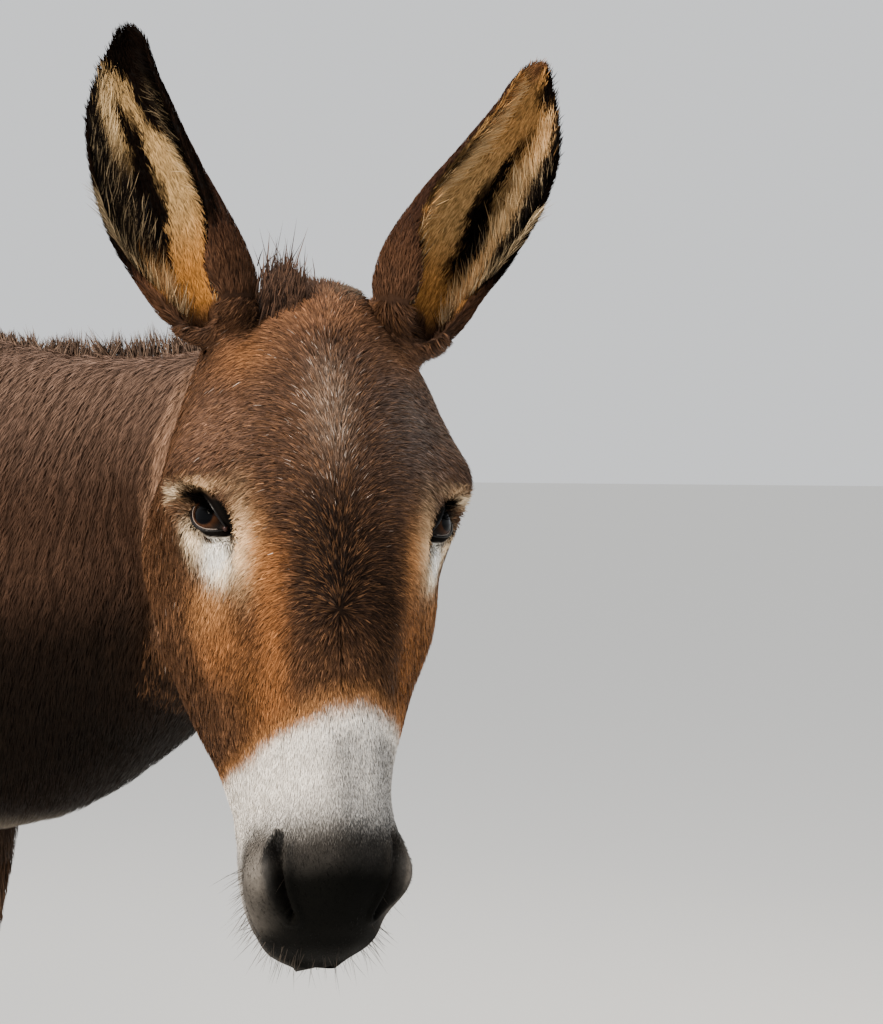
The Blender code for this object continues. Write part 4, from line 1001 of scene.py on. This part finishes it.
def coatLook(kind, points, normals, region):
    q, count = toHead(points), len(points)
    dice = np.random.default_rng(count)
    colours = markings(points + dice.normal(0, 0.0016, (count, 3)), normals)
    look = {**coatLooks["all"], **coatLooks.get(kind, {}), "colours": colours}
    look["way"] = lieOf(points, normals, region)
    if kind in ("neck", "throat"):
        wave = waves(points)
        # painted light and shade: the coat is painted lighter on the folds' ridges and darker in between
        look.update(lift=0.0016 + 0.0024 * wave, colours=colours * (0.66 + 0.68 * wave)[:, None])
    if kind in ("forehead", "cheek"):
        small = ramp(q[:, 1], 0.29, 0.35)
        u, v, w = eyePlane(mirrored(q))
        nearEye = ramp(np.hypot(u, v), 0.04, 0.018) * (w > 0)
        length = 0.01 - 0.0052 * small - 0.002 * ramp(q[:, 1], 0.34, 0.42)
        pale, light = ramp(colours.max(1), 0.12, 0.5), colours.max(1) > 0.003
        gold = (dice.random(count) < 0.3 * (1 - pale)) & (q[:, 1] < 0.35) & light
        colours[gold] = colours[gold] * 0.5 + linear(coatColours["strand"]) * 0.5
        grey = 0.13 * hump(q, 3, 112, 12, 16, 46, 30) + 0.003 * ramp(q[:, 1], 0.26, 0.2)
        fleck = dice.random(count) < grey
        colours[fleck] = linear(coatColours["fleck"])
        # pale hair gets less of the painted root shade
        look.update(
            length=length * (1 - 0.55 * nearEye) + 0.0025 * ramp(q[:, 2], -0.06, -0.12) * (1 - small),
            width=np.where(fleck, 0.0006, 0.001 - 0.00035 * small), depth=1 - 0.65 * pale,
            lift=0.0024 - 0.0016 * small - 0.001 * nearEye * (1 - small),
            vary=0.3 * (1 - pale) * ramp(q[:, 1], 0.4, 0.36) + 0.1)
    return look


def makeCoat(name):
    kind, right = name.split("_")[1], "right" in name
    count, seed = coatPieces[name]
    density = coatDensity(kind, right, skinMap["centres"], skinMap["region"])
    points, normals, uv, region, dice = rooted(count, density, seed)
    if kind in ("forehead", "cheek"):
        keep = uncovered(mirrored(toHead(points)))
        points, normals, uv, region = points[keep], normals[keep], uv[keep], region[keep]
    print(name, len(points), "tufts")
    return growTufts(name, dice, points, normals, uv, coatLook(kind, points, normals, region))


coat = [makeCoat(name) for name in coatPieces]

crestPath = path(
    middle, 0, 0, -190, 1125, 12, 0, -270, 1125, 28, -3, -395, 1093, 48, -22, -540, 1068, 68, -65, -675,
    1070, 85, -115, -765, 1082, 100, -150, -810, 1088)
maneHeight = shareCurve(2, 2, 12, 3, 30, 4, 42, 10, 54, 21, 64, 19, 75, 8, 88, 2, 100, -2)
tailPath = path(
    middle, 0, 0, 545, 1020, 15, 0, 610, 995, 35, 0, 648, 900, 60, 4, 660, 760, 80, 8, 657, 620, 100, 10,
    651, 430)
hairPieces = {  # tufts and seed, width and height in metres, colours: one, or a dark and a light one
    "mane_hair": {"count": 5200, "seed": 31, "width": 0.0013, "lift": 0.002,
                  "colours": ("#2a1f19", "#6f5c4e")},
    "forelock_hair": {"count": 1800, "seed": 32, "width": 0.001, "lift": 0.004,
                      "colours": ("#1a110c", "#5a4233")},
    "tail_tuft_hair": {"count": 7000, "seed": 33, "width": 0.0028, "lift": 0.006, "stray": 0.05,
                       "colours": ("#1d1511",)},
    "ear_hair_left": {"count": 9000, "seed": 34, "width": 0.0008, "lift": 0.0025, "stray": 0.12, "vary": 0.18,
                      "colours": ("#dcc196",)},
    "muzzle_whiskers": {"count": 420, "seed": 36, "width": 0.0004, "lift": 0.0, "stray": 0.1,
                        "colours": ("#4a433c",)},
    "lashes_left": {"count": 300, "seed": 41, "width": 0.00062, "stray": 0.05, "vary": 0.05,
                    "colours": ("#0b0807",)},
}
hairPieces["ear_hair_right"] = {**hairPieces["ear_hair_left"], "seed": 35}
hairPieces["lashes_right"] = hairPieces["lashes_left"]
skinTree = treeOf(skin)


def planOf(name):  # a hair piece's dice, its number of tufts and its linear colours
    plan = hairPieces[name]
    return np.random.default_rng(plan["seed"]), plan["count"], [linear(code) for code in plan["colours"]]


def growHair(name, dice, points, normals, way, length, colours, uv=None, **more):
    if uv is None:  # the skin's map at the nearest face
        faces = [skinTree.find_nearest(Vector(point))[2] for point in points]
        uv = skinMap["uv"][skinMap["starts"][faces]]
    # long hair too is painted darker at its root and lighter at its tip, as painted shade
    look = {"stray": 0.16, "vary": 0.25, "shadeRootToTip": [0.6, 0.6, 0.9, 0.9, 1.15], **hairPieces[name], **more}
    look.update(way=way, length=length, colours=colours)
    return growTufts(name, dice, points, normals, uv, look)


def makeMane():
    name, lockCount = "mane_hair", 190
    dice, count, (dark, light) = planOf(name)
    locks = np.sort(dice.uniform(0.03, 1.0, lockCount))
    lock = dice.integers(0, lockCount, count)
    t = np.clip(locks[lock] + dice.normal(0, 0.008, count), 0.02, 1)
    forward = unit(crestPath(np.minimum(t + 0.02, 1)) - crestPath(np.maximum(t - 0.02, 0)))
    side = unit(np.cross(forward, (0, 0, 1.0)))
    sunk = np.array((0, 0, 0.012))  # the roots lie this deep under the crest
    points = crestPath(t) + side * dice.normal(0, 0.0035, count)[:, None] - sunk
    lean = dice.normal(0, 0.22, (lockCount, 2))[lock] + dice.normal(0, 0.05, (count, 2))
    height = maneHeight(t) + 0.003 + 0.009 * ramp(t, 0.1, 0.4)
    height = (height * dice.uniform(0.65, 1.0, lockCount)[lock])[:, None]
    rise = (0, 0, 1.0) + side * lean[:, :1] + forward * (lean[:, 1:] - 0.15)
    tips = crestPath(locks[lock]) + height * rise - sunk
    length = np.linalg.norm(tips - points, axis=1) * 0.95
    colours = blend(dark, light, dice.random(count) ** 2)
    normals = side * np.sign(dice.random(count) - 0.5)[:, None]
    return growHair(name, dice, points, normals, unit(tips - points), length, colours)


def makeForelock():
    name = "forelock_hair"
    dice, count, (dark, light) = planOf(name)
    spot = np.stack([dice.normal(0.03, 0.008, count), dice.normal(0.006, 0.008, count)], 1)
    spot = np.column_stack([spot, np.full(count, -0.007)])
    lean = np.stack([0.16 - spot[:, 0] * 9 + dice.normal(0, 0.12, count), dice.normal(-1.0, 0.1, count),
                     dice.normal(0.1, 0.2, count)], 1)
    length = dice.uniform(0.008, 0.022, count) + 0.03 * (dice.random(count) > 0.985)
    normals = np.tile(unit(axes @ (0.0, -0.5, 0.85)), (count, 1))
    colours = blend(dark, light, dice.random(count) ** 1.5)
    return growHair(name, dice, fromHead(spot), normals, unit(lean @ axes.T), length, colours)


def makeTailTuft():
    name = "tail_tuft_hair"
    dice, count, (colour,) = planOf(name)
    t = dice.uniform(0.5, 0.86, count)
    turn = dice.uniform(0, math.tau, count)
    around = inPlane(np.cos(turn), (1, 0, 0), np.sin(turn), (0, 1, 0))
    points = tailPath(t) + around * (0.004 + 0.01 * ramp(t, 0.62, 0.5))[:, None]
    lowest = 0.437  # the tuft's end above the floor
    length = np.minimum(dice.uniform(0.09, 0.15, count), (points[:, 2] - lowest) / 1.3)
    way = unit((0, 0, -1.0) + around * 0.1 * ramp(t, 0.86, 0.6)[:, None])
    return growHair(name, dice, points, around, way, length, colour)


def makeEarHair(side):  # long pale hair that stands in from the ear's edges
    name = f"ear_hair_{side}"
    dice, count, (pale,) = planOf(name)
    _, up, opening, across, outward = earAxes(side)
    t = dice.beta(1.3, 1.5, count) * 0.86 + 0.05
    edge = np.where(dice.random(count) > 0.5, 1.0, -1.0)
    back = dice.beta(1.1, 2.2, count) * 0.55  # how far in from the edge the hair stands
    angle = edge * np.radians(earWrap(t)) * (1 - back)
    place = earPoints(side, t, angle, earRadius(t, side) - earThickness(t))
    inward = inPlane(-np.sin(angle), across, np.cos(angle), opening)
    sweep = inPlane(-edge * np.cos(angle), across, -edge * np.sin(angle), opening)
    way = unit(up * 0.75 + sweep * 0.4 + inward * 0.22 + opening * 0.22 + dice.normal(0, 0.1, (count, 3)))
    near = place + up * dice.normal(0, 0.005, (count, 1)) + across * dice.normal(0, 0.004, (count, 1))
    colours = markings(fromHead(near), inward @ axes.T)
    light = ramp(colours.max(1), 0.05, 0.3) * dice.random(count) * 0.45
    light += 0.25 * (dice.random(count) > 0.85) * ramp(t, 0.8, 0.7)
    fringe = (back < 0.03) & (edge * outward > 0) & (t < 0.55)  # it hangs out over the outer edge
    way[fringe] = unit(up * 0.75 - sweep * 0.65 - inward * 0.1 + dice.normal(0, 0.15, (count, 3)))[fringe]
    light = np.where(fringe, 0.1 + 0.5 * dice.random(count) ** 2, light)
    length = dice.uniform(0.014, 0.026, count) * (1 - 0.45 * ramp(t, 0.6, 0.95))
    colours = blend(colours, pale, light)
    return growHair(name, dice, fromHead(place), inward @ axes.T, way @ axes.T, length, colours)


def makeWhiskers():
    name = "muzzle_whiskers"
    dice, count, (colour,) = planOf(name)
    aside = dice.choice([-1, 1], count) * dice.uniform(0.0, 0.052, count)
    spot = np.stack([aside, dice.uniform(0.415, 0.488, count), dice.uniform(-0.15, -0.08, count)], 1)
    found = [skinTree.find_nearest(Vector(point)) for point in fromHead(spot)]
    points, normals = (np.array([hit[i] for hit in found]) for i in (0, 1))
    uv = skinMap["uv"][skinMap["starts"][[hit[2] for hit in found]]]
    way = unit(normals * 0.9 + (0, 0, -0.5) + dice.normal(0, 0.15, (count, 3)))
    side = unit(np.cross(way, (0.3, 0.2, 0.9)))
    return growHair(name, dice, points, side, way, dice.uniform(0.01, 0.026, count), colour, uv)


mane, forelock, tailTuft = makeMane(), makeForelock(), makeTailTuft()
earHair, whiskers = [makeEarHair(side) for side in sides], makeWhiskers()
print("long hair made")

gaze = unit((0.78, 0.0, 0.62))
irisShape = {"iris": 0.0146, "pupilLong": 0.0098, "pupilHigh": 0.008}
irisColours = {
    "pupil": "#020203", "iris": "#3c2312", "irisDark": "#100804", "rim": "#090504", "white": "#241d19",
}


def makeEye(side):
    sign = signs[side]
    look = gaze * sign
    level = unit((eyeSlit - gaze * (eyeSlit @ gaze)) * sign)
    over = np.cross(level, look)
    ring = circle(72, level, over)
    polar = np.concatenate([np.linspace(0.02, 1.2, 44), np.linspace(1.25, math.pi - 0.05, 24)])[:, None, None]
    swell = 1 + 0.02 * np.exp(-(polar / 0.55) ** 4)  # the clear front stands a little proud
    rings = eyeCentre * sign + (np.sin(polar) * ring + np.cos(polar) * look) * eyeRadius * swell * 0.985
    obj = closedLoft(f"eyeball_{side}", fromHead(rings))
    local = toHead(readOut(obj.data.vertices, "co", 3)) - eyeCentre * sign
    u, v, front = local @ level, local @ over, local @ look > 0
    wide, turn = np.hypot(u, v), np.arctan2(v, u)
    pupil, iris, irisDark, rim, white = map(linear, irisColours.values())
    rays = (0.75 + 0.25 * np.sin(turn * 47 + 2.0 * np.sin(turn * 13))) * ramp(wide, irisShape["iris"], 0.008)
    colour = blend(white, rim, ramp(wide, irisShape["iris"] + 0.0035, irisShape["iris"] + 0.0005) * front)
    irisMask = ramp(wide, irisShape["iris"] + 0.0006, irisShape["iris"] - 0.0006) * front
    colour = blend(colour, blend(irisDark, iris, rays), irisMask)
    pupilMask = ramp(np.hypot(u / irisShape["pupilLong"], v / irisShape["pupilHigh"]), 1.08, 0.92) * front
    paint(obj, blend(colour, pupil, pupilMask))
    obj.data.shade_smooth()
    return obj


def tube(name, line, radius, around=10):  # a round bead along a line, tapering as radius says
    forward = unit(np.gradient(line, axis=0))
    side = unit(np.cross(forward, axes @ (0.3, 0.1, 1.0)))
    over = np.cross(side, forward)
    angle = np.arange(around)[:, None] * math.tau / around
    obj = closedLoft(name, line[:, None] + radius[:, None, None] * (
        np.cos(angle) * side[:, None] + np.sin(angle) * over[:, None]))
    obj.data.shade_smooth()
    return obj


def onBall(u, v, rise, sign):  # a place over the eyeball, rise above its surface
    local = eyeCentre + inPlane(u, eyeSlit, v, eyeUp) + np.outer(ballHeight(u, v) + rise, eyeOut)
    return fromHead(local * sign)


def makeLids(side):  # two lid rims, the tear line along the lower one, painted pale as a highlight on its wet edge, and the tear bead in the inner corner
    sign = signs[side]
    line = np.linspace(lidShape["outer"], lidShape["inner"] + 0.0005, 56)
    ends = np.sin(math.pi * np.linspace(0.02, 0.98, 56)) ** 0.4
    above, below = lidEdge(line, True), lidEdge(line, False)
    upper = tube(f"lid_upper_{side}", onBall(line, above + 0.0004, 0.0008, sign), 0.00165 * ends)
    lower = tube(f"lid_lower_{side}", onBall(line, below - 0.0005, 0.0008, sign), 0.0013 * ends)
    tearGlint = tube(f"tear_line_{side}", onBall(line, below + 0.0008, 0.0, sign)[4:-6], 0.00036 * ends[4:-6])
    corner = linked(f"tear_corner_{side}", bpy.data.meshes.new(f"tear_corner_{side}"))
    spot = onBall(np.array([lidShape["inner"] - 0.001]), np.array([-0.0002]), -0.001, sign)[0]
    ball = bmesh.new()
    bmesh.ops.create_icosphere(ball, subdivisions=3, radius=0.0023, matrix=Matrix.Translation(Vector(spot)))
    ball.to_mesh(corner.data)
    ball.free()
    corner.data.shade_smooth()
    return upper, lower, tearGlint, corner


def makeLashes(side):
    name, sign = f"lashes_{side}", signs[side]
    dice, count, (colour,) = planOf(name)
    u = dice.uniform(lidShape["outer"] + 0.0005, 0.01, count)
    upper = dice.random(count) > 0.12
    v = np.where(upper, lidEdge(u, True) + 0.001, lidEdge(u, False) - 0.001)
    outer = ramp(u, 0.008, -0.014)
    rise = np.where(upper, 0.05 - 0.3 * outer, -0.6)
    away = eyeOut * 0.8 + inPlane(rise, eyeUp, -0.35 - 0.9 * outer, eyeSlit)
    away += dice.normal(0, 0.1, (count, 3))
    length = np.where(upper, 0.008 + 0.011 * outer, 0.005) * dice.uniform(0.8, 1.15, count)
    down = np.tile(-eyeUp * sign @ axes.T, (count, 1))
    return growHair(name, dice, onBall(u, v, 0.0012, sign), down, unit(away) * sign @ axes.T, length, colour,
                    np.full((count, 2), 0.001), lift=np.where(upper, 0.0035, 0.001))


def newMaterial(name):
    made = bpy.data.materials.new(name)
    made.use_nodes = True
    return made, made.node_tree, made.node_tree.nodes["Principled BSDF"]


def addNode(tree, kind, settings, links):  # settings by attribute or input name; links by input name
    node = tree.nodes.new(kind)
    for key, value in settings.items():
        if hasattr(node, key):
            setattr(node, key, value)
        else:
            node.inputs[key].default_value = value
    for key, source in links.items():
        tree.links.new(source, node.inputs[key])
    return node


def finish(shader, **values):
    for key, value in values.items():
        shader.inputs[key.replace("_", " ")].default_value = value


def objectPlace(tree):
    return addNode(tree, "ShaderNodeTexCoord", {}, {}).outputs["Object"]


def paintedTone(tree, shader, noise, tones):  # the painted colour, lighter and darker from spot to spot
    place = objectPlace(tree)
    colour = addNode(tree, "ShaderNodeVertexColor", {"layer_name": "coat"}, {}).outputs["Color"]
    spots = addNode(tree, "ShaderNodeTexNoise", noise, {"Vector": place}).outputs["Fac"]
    tone = addNode(tree, "ShaderNodeMapRange", tones, {"Value": spots}).outputs[0]
    grey = addNode(tree, "ShaderNodeCombineColor", {}, {0: tone, 1: tone, 2: tone}).outputs[0]
    both = addNode(tree, "ShaderNodeMix", {"data_type": "RGBA", "blend_type": "MULTIPLY", "Factor": 1.0}, {})
    tree.links.new(colour, both.inputs[6])
    tree.links.new(grey, both.inputs[7])
    tree.links.new(both.outputs[2], shader.inputs["Base Color"])
    return place


def tinted(tree, shader, value, low, high):  # two stops of a place and a linear colour
    tint = addNode(tree, "ShaderNodeValToRGB", {}, {"Fac": value})
    for stop, (place, colour) in zip(tint.color_ramp.elements, (low, high)):
        stop.position, stop.color = place, (*colour, 1)
    tree.links.new(tint.outputs["Color"], shader.inputs["Base Color"])


def hairMaterial(name, roughness, gloss):
    # Animal hair: each strand is a clear keratin shaft over pigment, soft in colour with a faint gloss.
    made, tree, shader = newMaterial(name)
    paintedTone(tree, shader, {"Scale": 110.0, "Detail": 3.0, "Roughness": 0.6},  # locks of about 9 mm
                {"From Min": 0.3, "From Max": 0.7, "To Min": 0.78, "To Max": 1.18})
    finish(shader, Roughness=roughness, Specular_IOR_Level=gloss)
    return made


def skinMaterial():
    # Hide under the coat and bare nose leather: pores drawn at about 1 mm, and a dull, slightly greasy face.
    made, tree, shader = newMaterial("hide_and_nose_leather")
    place = paintedTone(tree, shader, {"Scale": 260.0, "Detail": 4.0, "Roughness": 0.65},  # 4 mm mottle
                        {"From Min": 0.3, "From Max": 0.7, "To Min": 0.72, "To Max": 1.2})
    pores = addNode(tree, "ShaderNodeTexVoronoi", {"Scale": 900.0}, {"Vector": place}).outputs["Distance"]
    bump = addNode(tree, "ShaderNodeBump", {"Strength": 0.35, "Distance": 0.0006}, {"Height": pores})
    tree.links.new(bump.outputs[0], shader.inputs["Normal"])
    finish(shader, Roughness=0.75, Specular_IOR_Level=0.04)
    return made


def eyeMaterial():
    # The wet clear front of an eye: a mirror-smooth tear film over a deep brown iris of 0.7 mm fibres.
    made, tree, shader = newMaterial("wet_cornea")
    paintedTone(tree, shader, {"Scale": 1500.0, "Detail": 3.0}, {"To Min": 0.6, "To Max": 1.4})
    finish(shader, Roughness=0.05, IOR=1.376, Specular_IOR_Level=0.1, Coat_Weight=0.03, Coat_Roughness=0.02)
    return made


def hornMaterial():
    # Hoof horn: grown downwards in fine tubes, with low growth rings about 7 mm apart and a dull satin face.
    made, tree, shader = newMaterial("hoof_horn")
    place = objectPlace(tree)
    wave = {"bands_direction": "Z", "Scale": 44.0, "Distortion": 1.2, "Detail": 2.0}
    rings = addNode(tree, "ShaderNodeTexWave", wave, {"Vector": place}).outputs["Fac"]
    long = addNode(tree, "ShaderNodeMapping", {"Scale": (260.0, 260.0, 14.0)}, {"Vector": place})  # 4 mm wide
    tubes = addNode(tree, "ShaderNodeTexNoise", {"Scale": 1.0, "Detail": 3.0}, {"Vector": long.outputs[0]})
    tubes = tubes.outputs["Fac"]
    tinted(tree, shader, tubes, (0.32, linear("#2e2822")), (0.7, linear("#6a5f52")))
    both = addNode(tree, "ShaderNodeMath", {"operation": "ADD"}, {0: rings, 1: tubes}).outputs[0]
    bump = addNode(tree, "ShaderNodeBump", {"Strength": 0.5, "Distance": 0.001}, {"Height": both})
    tree.links.new(bump.outputs[0], shader.inputs["Normal"])
    finish(shader, Roughness=0.48, Specular_IOR_Level=0.45)
    return made


def plainWet(name, code, roughness):
    # Lid rims, the inner corner and the tear line: thin moist skin that shines, uneven over about 0.7 mm. The
    # tear line's pale grey is a painted highlight of its wet edge.
    made, tree, shader = newMaterial(name)
    place = objectPlace(tree)
    fine = addNode(tree, "ShaderNodeTexNoise", {"Scale": 1400.0, "Detail": 2.0}, {"Vector": place})
    tinted(tree, shader, fine.outputs["Fac"], (0, linear(code) * 0.7), (1, np.minimum(linear(code) * 1.3, 1)))
    finish(shader, Roughness=roughness, Specular_IOR_Level=0.14, Coat_Weight=0.05, Coat_Roughness=0.1)
    return made


shortHair, bodyHair = hairMaterial("short_coat_hair", 0.55, 0.045), hairMaterial("body_coat_hair", 0.6, 0.0)
coarseHair = hairMaterial("coarse_mane_hair", 0.5, 0.05)
hide, cornea, horn = skinMaterial(), eyeMaterial(), hornMaterial()
# the tear line's pale grey is a painted highlight of the wet lower lid
lidSkin, tearHighlight = plainWet("black_lid_rim", "#070505", 0.4), plainWet("tear_film", "#857b74", 0.12)
tearSkin = plainWet("inner_corner_skin", "#2c1c19", 0.3)


def dress(obj, material, slot, *replaced):
    obj.data.materials.clear()
    obj.data.materials.append(material)
    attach(obj, "root")
    if replaced:
        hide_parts(*replaced)


skin.data.shade_smooth()
dress(skin, hide, "brown_coat", *fleshNodes, "ear_left", "ear_right")
for piece in coat:
    dull = any(word in piece.name for word in ("trunk", "legs", "ear"))
    dress(piece, bodyHair if dull else shortHair, "brown_coat")
dress(mane, coarseHair, "dark_hair", "mane")
dress(forelock, coarseHair, "dark_hair")
dress(tailTuft, coarseHair, "dark_hair", "tail_tuft")
for piece in earHair:
    dress(piece, shortHair, "brown_coat")
dress(whiskers, coarseHair, "dark_hair")
for side in sides:
    dress(makeEye(side), cornea, "eye_gloss", f"eye_{side}")
    upper, lower, tearGlint, corner = makeLids(side)
    dress(upper, lidSkin, "brown_coat")
    dress(lower, lidSkin, "brown_coat")
    dress(tearGlint, tearHighlight, "eye_gloss")
    dress(corner, tearSkin, "brown_coat")
    dress(makeLashes(side), coarseHair, "dark_hair")
for name in legNames:
    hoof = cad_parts[name.replace("leg", "hoof")]
    hoof.data.materials.clear()
    hoof.data.materials.append(horn)
print("materials set")

studio = {"reach": 40, "floor": "#e6e4e0", "sky": "#f2f4f6", "skyStrength": 1.05}
up = Vector((0, 0, 1))
lamps = {  # place, target, size, power and colour
    "key": (forehead + back * 1.5 - right * 1.5 + up * 1.3, forehead, 0.9, 150, "#fff1e0"),
    "fill": (forehead + back * 1.6 + right * 1.8 + up * 0.3, forehead, 1.6, 8, "#e6f0ff"),
    "rim": (forehead - back * 2.0 + right * 1.0 + up * 1.3, forehead, 0.9, 26, "#ffeccb"),
    "top": (Vector((0.0, 0.1, 3.0)), Vector((0.0, 0.1, 0.6)), 2.4, 60, "#ffffff"),
}


def makeStudio():
    corners = [(x * studio["reach"], y * studio["reach"], 0) for x, y in ((-1, -1), (1, -1), (1, 1), (-1, 1))]
    floor = meshPiece("studio_floor", corners, [(0, 1, 2, 3)])
    made, _, shader = newMaterial("matt_studio_floor")  # painted board
    finish(shader, Base_Color=(*linear(studio["floor"]), 1), Roughness=0.9, Specular_IOR_Level=0.1)
    floor.data.materials.append(made)
    for name, (place, target, size, power, colour) in lamps.items():
        data = bpy.data.lights.new(name, "AREA")
        data.shape, data.size, data.energy, data.color = "DISK", size, power, linear(colour)
        lamp = linked(name, data)
        lamp.location = place
        lamp.rotation_euler = (target - place).to_track_quat("-Z", "Y").to_euler()
    world = bpy.data.worlds.new("studio")
    world.use_nodes = True
    sky = world.node_tree.nodes["Background"]
    finish(sky, Color=(*linear(studio["sky"]), 1), Strength=studio["skyStrength"])
    bpy.context.scene.world = world


makeStudio()
print("studio lit")
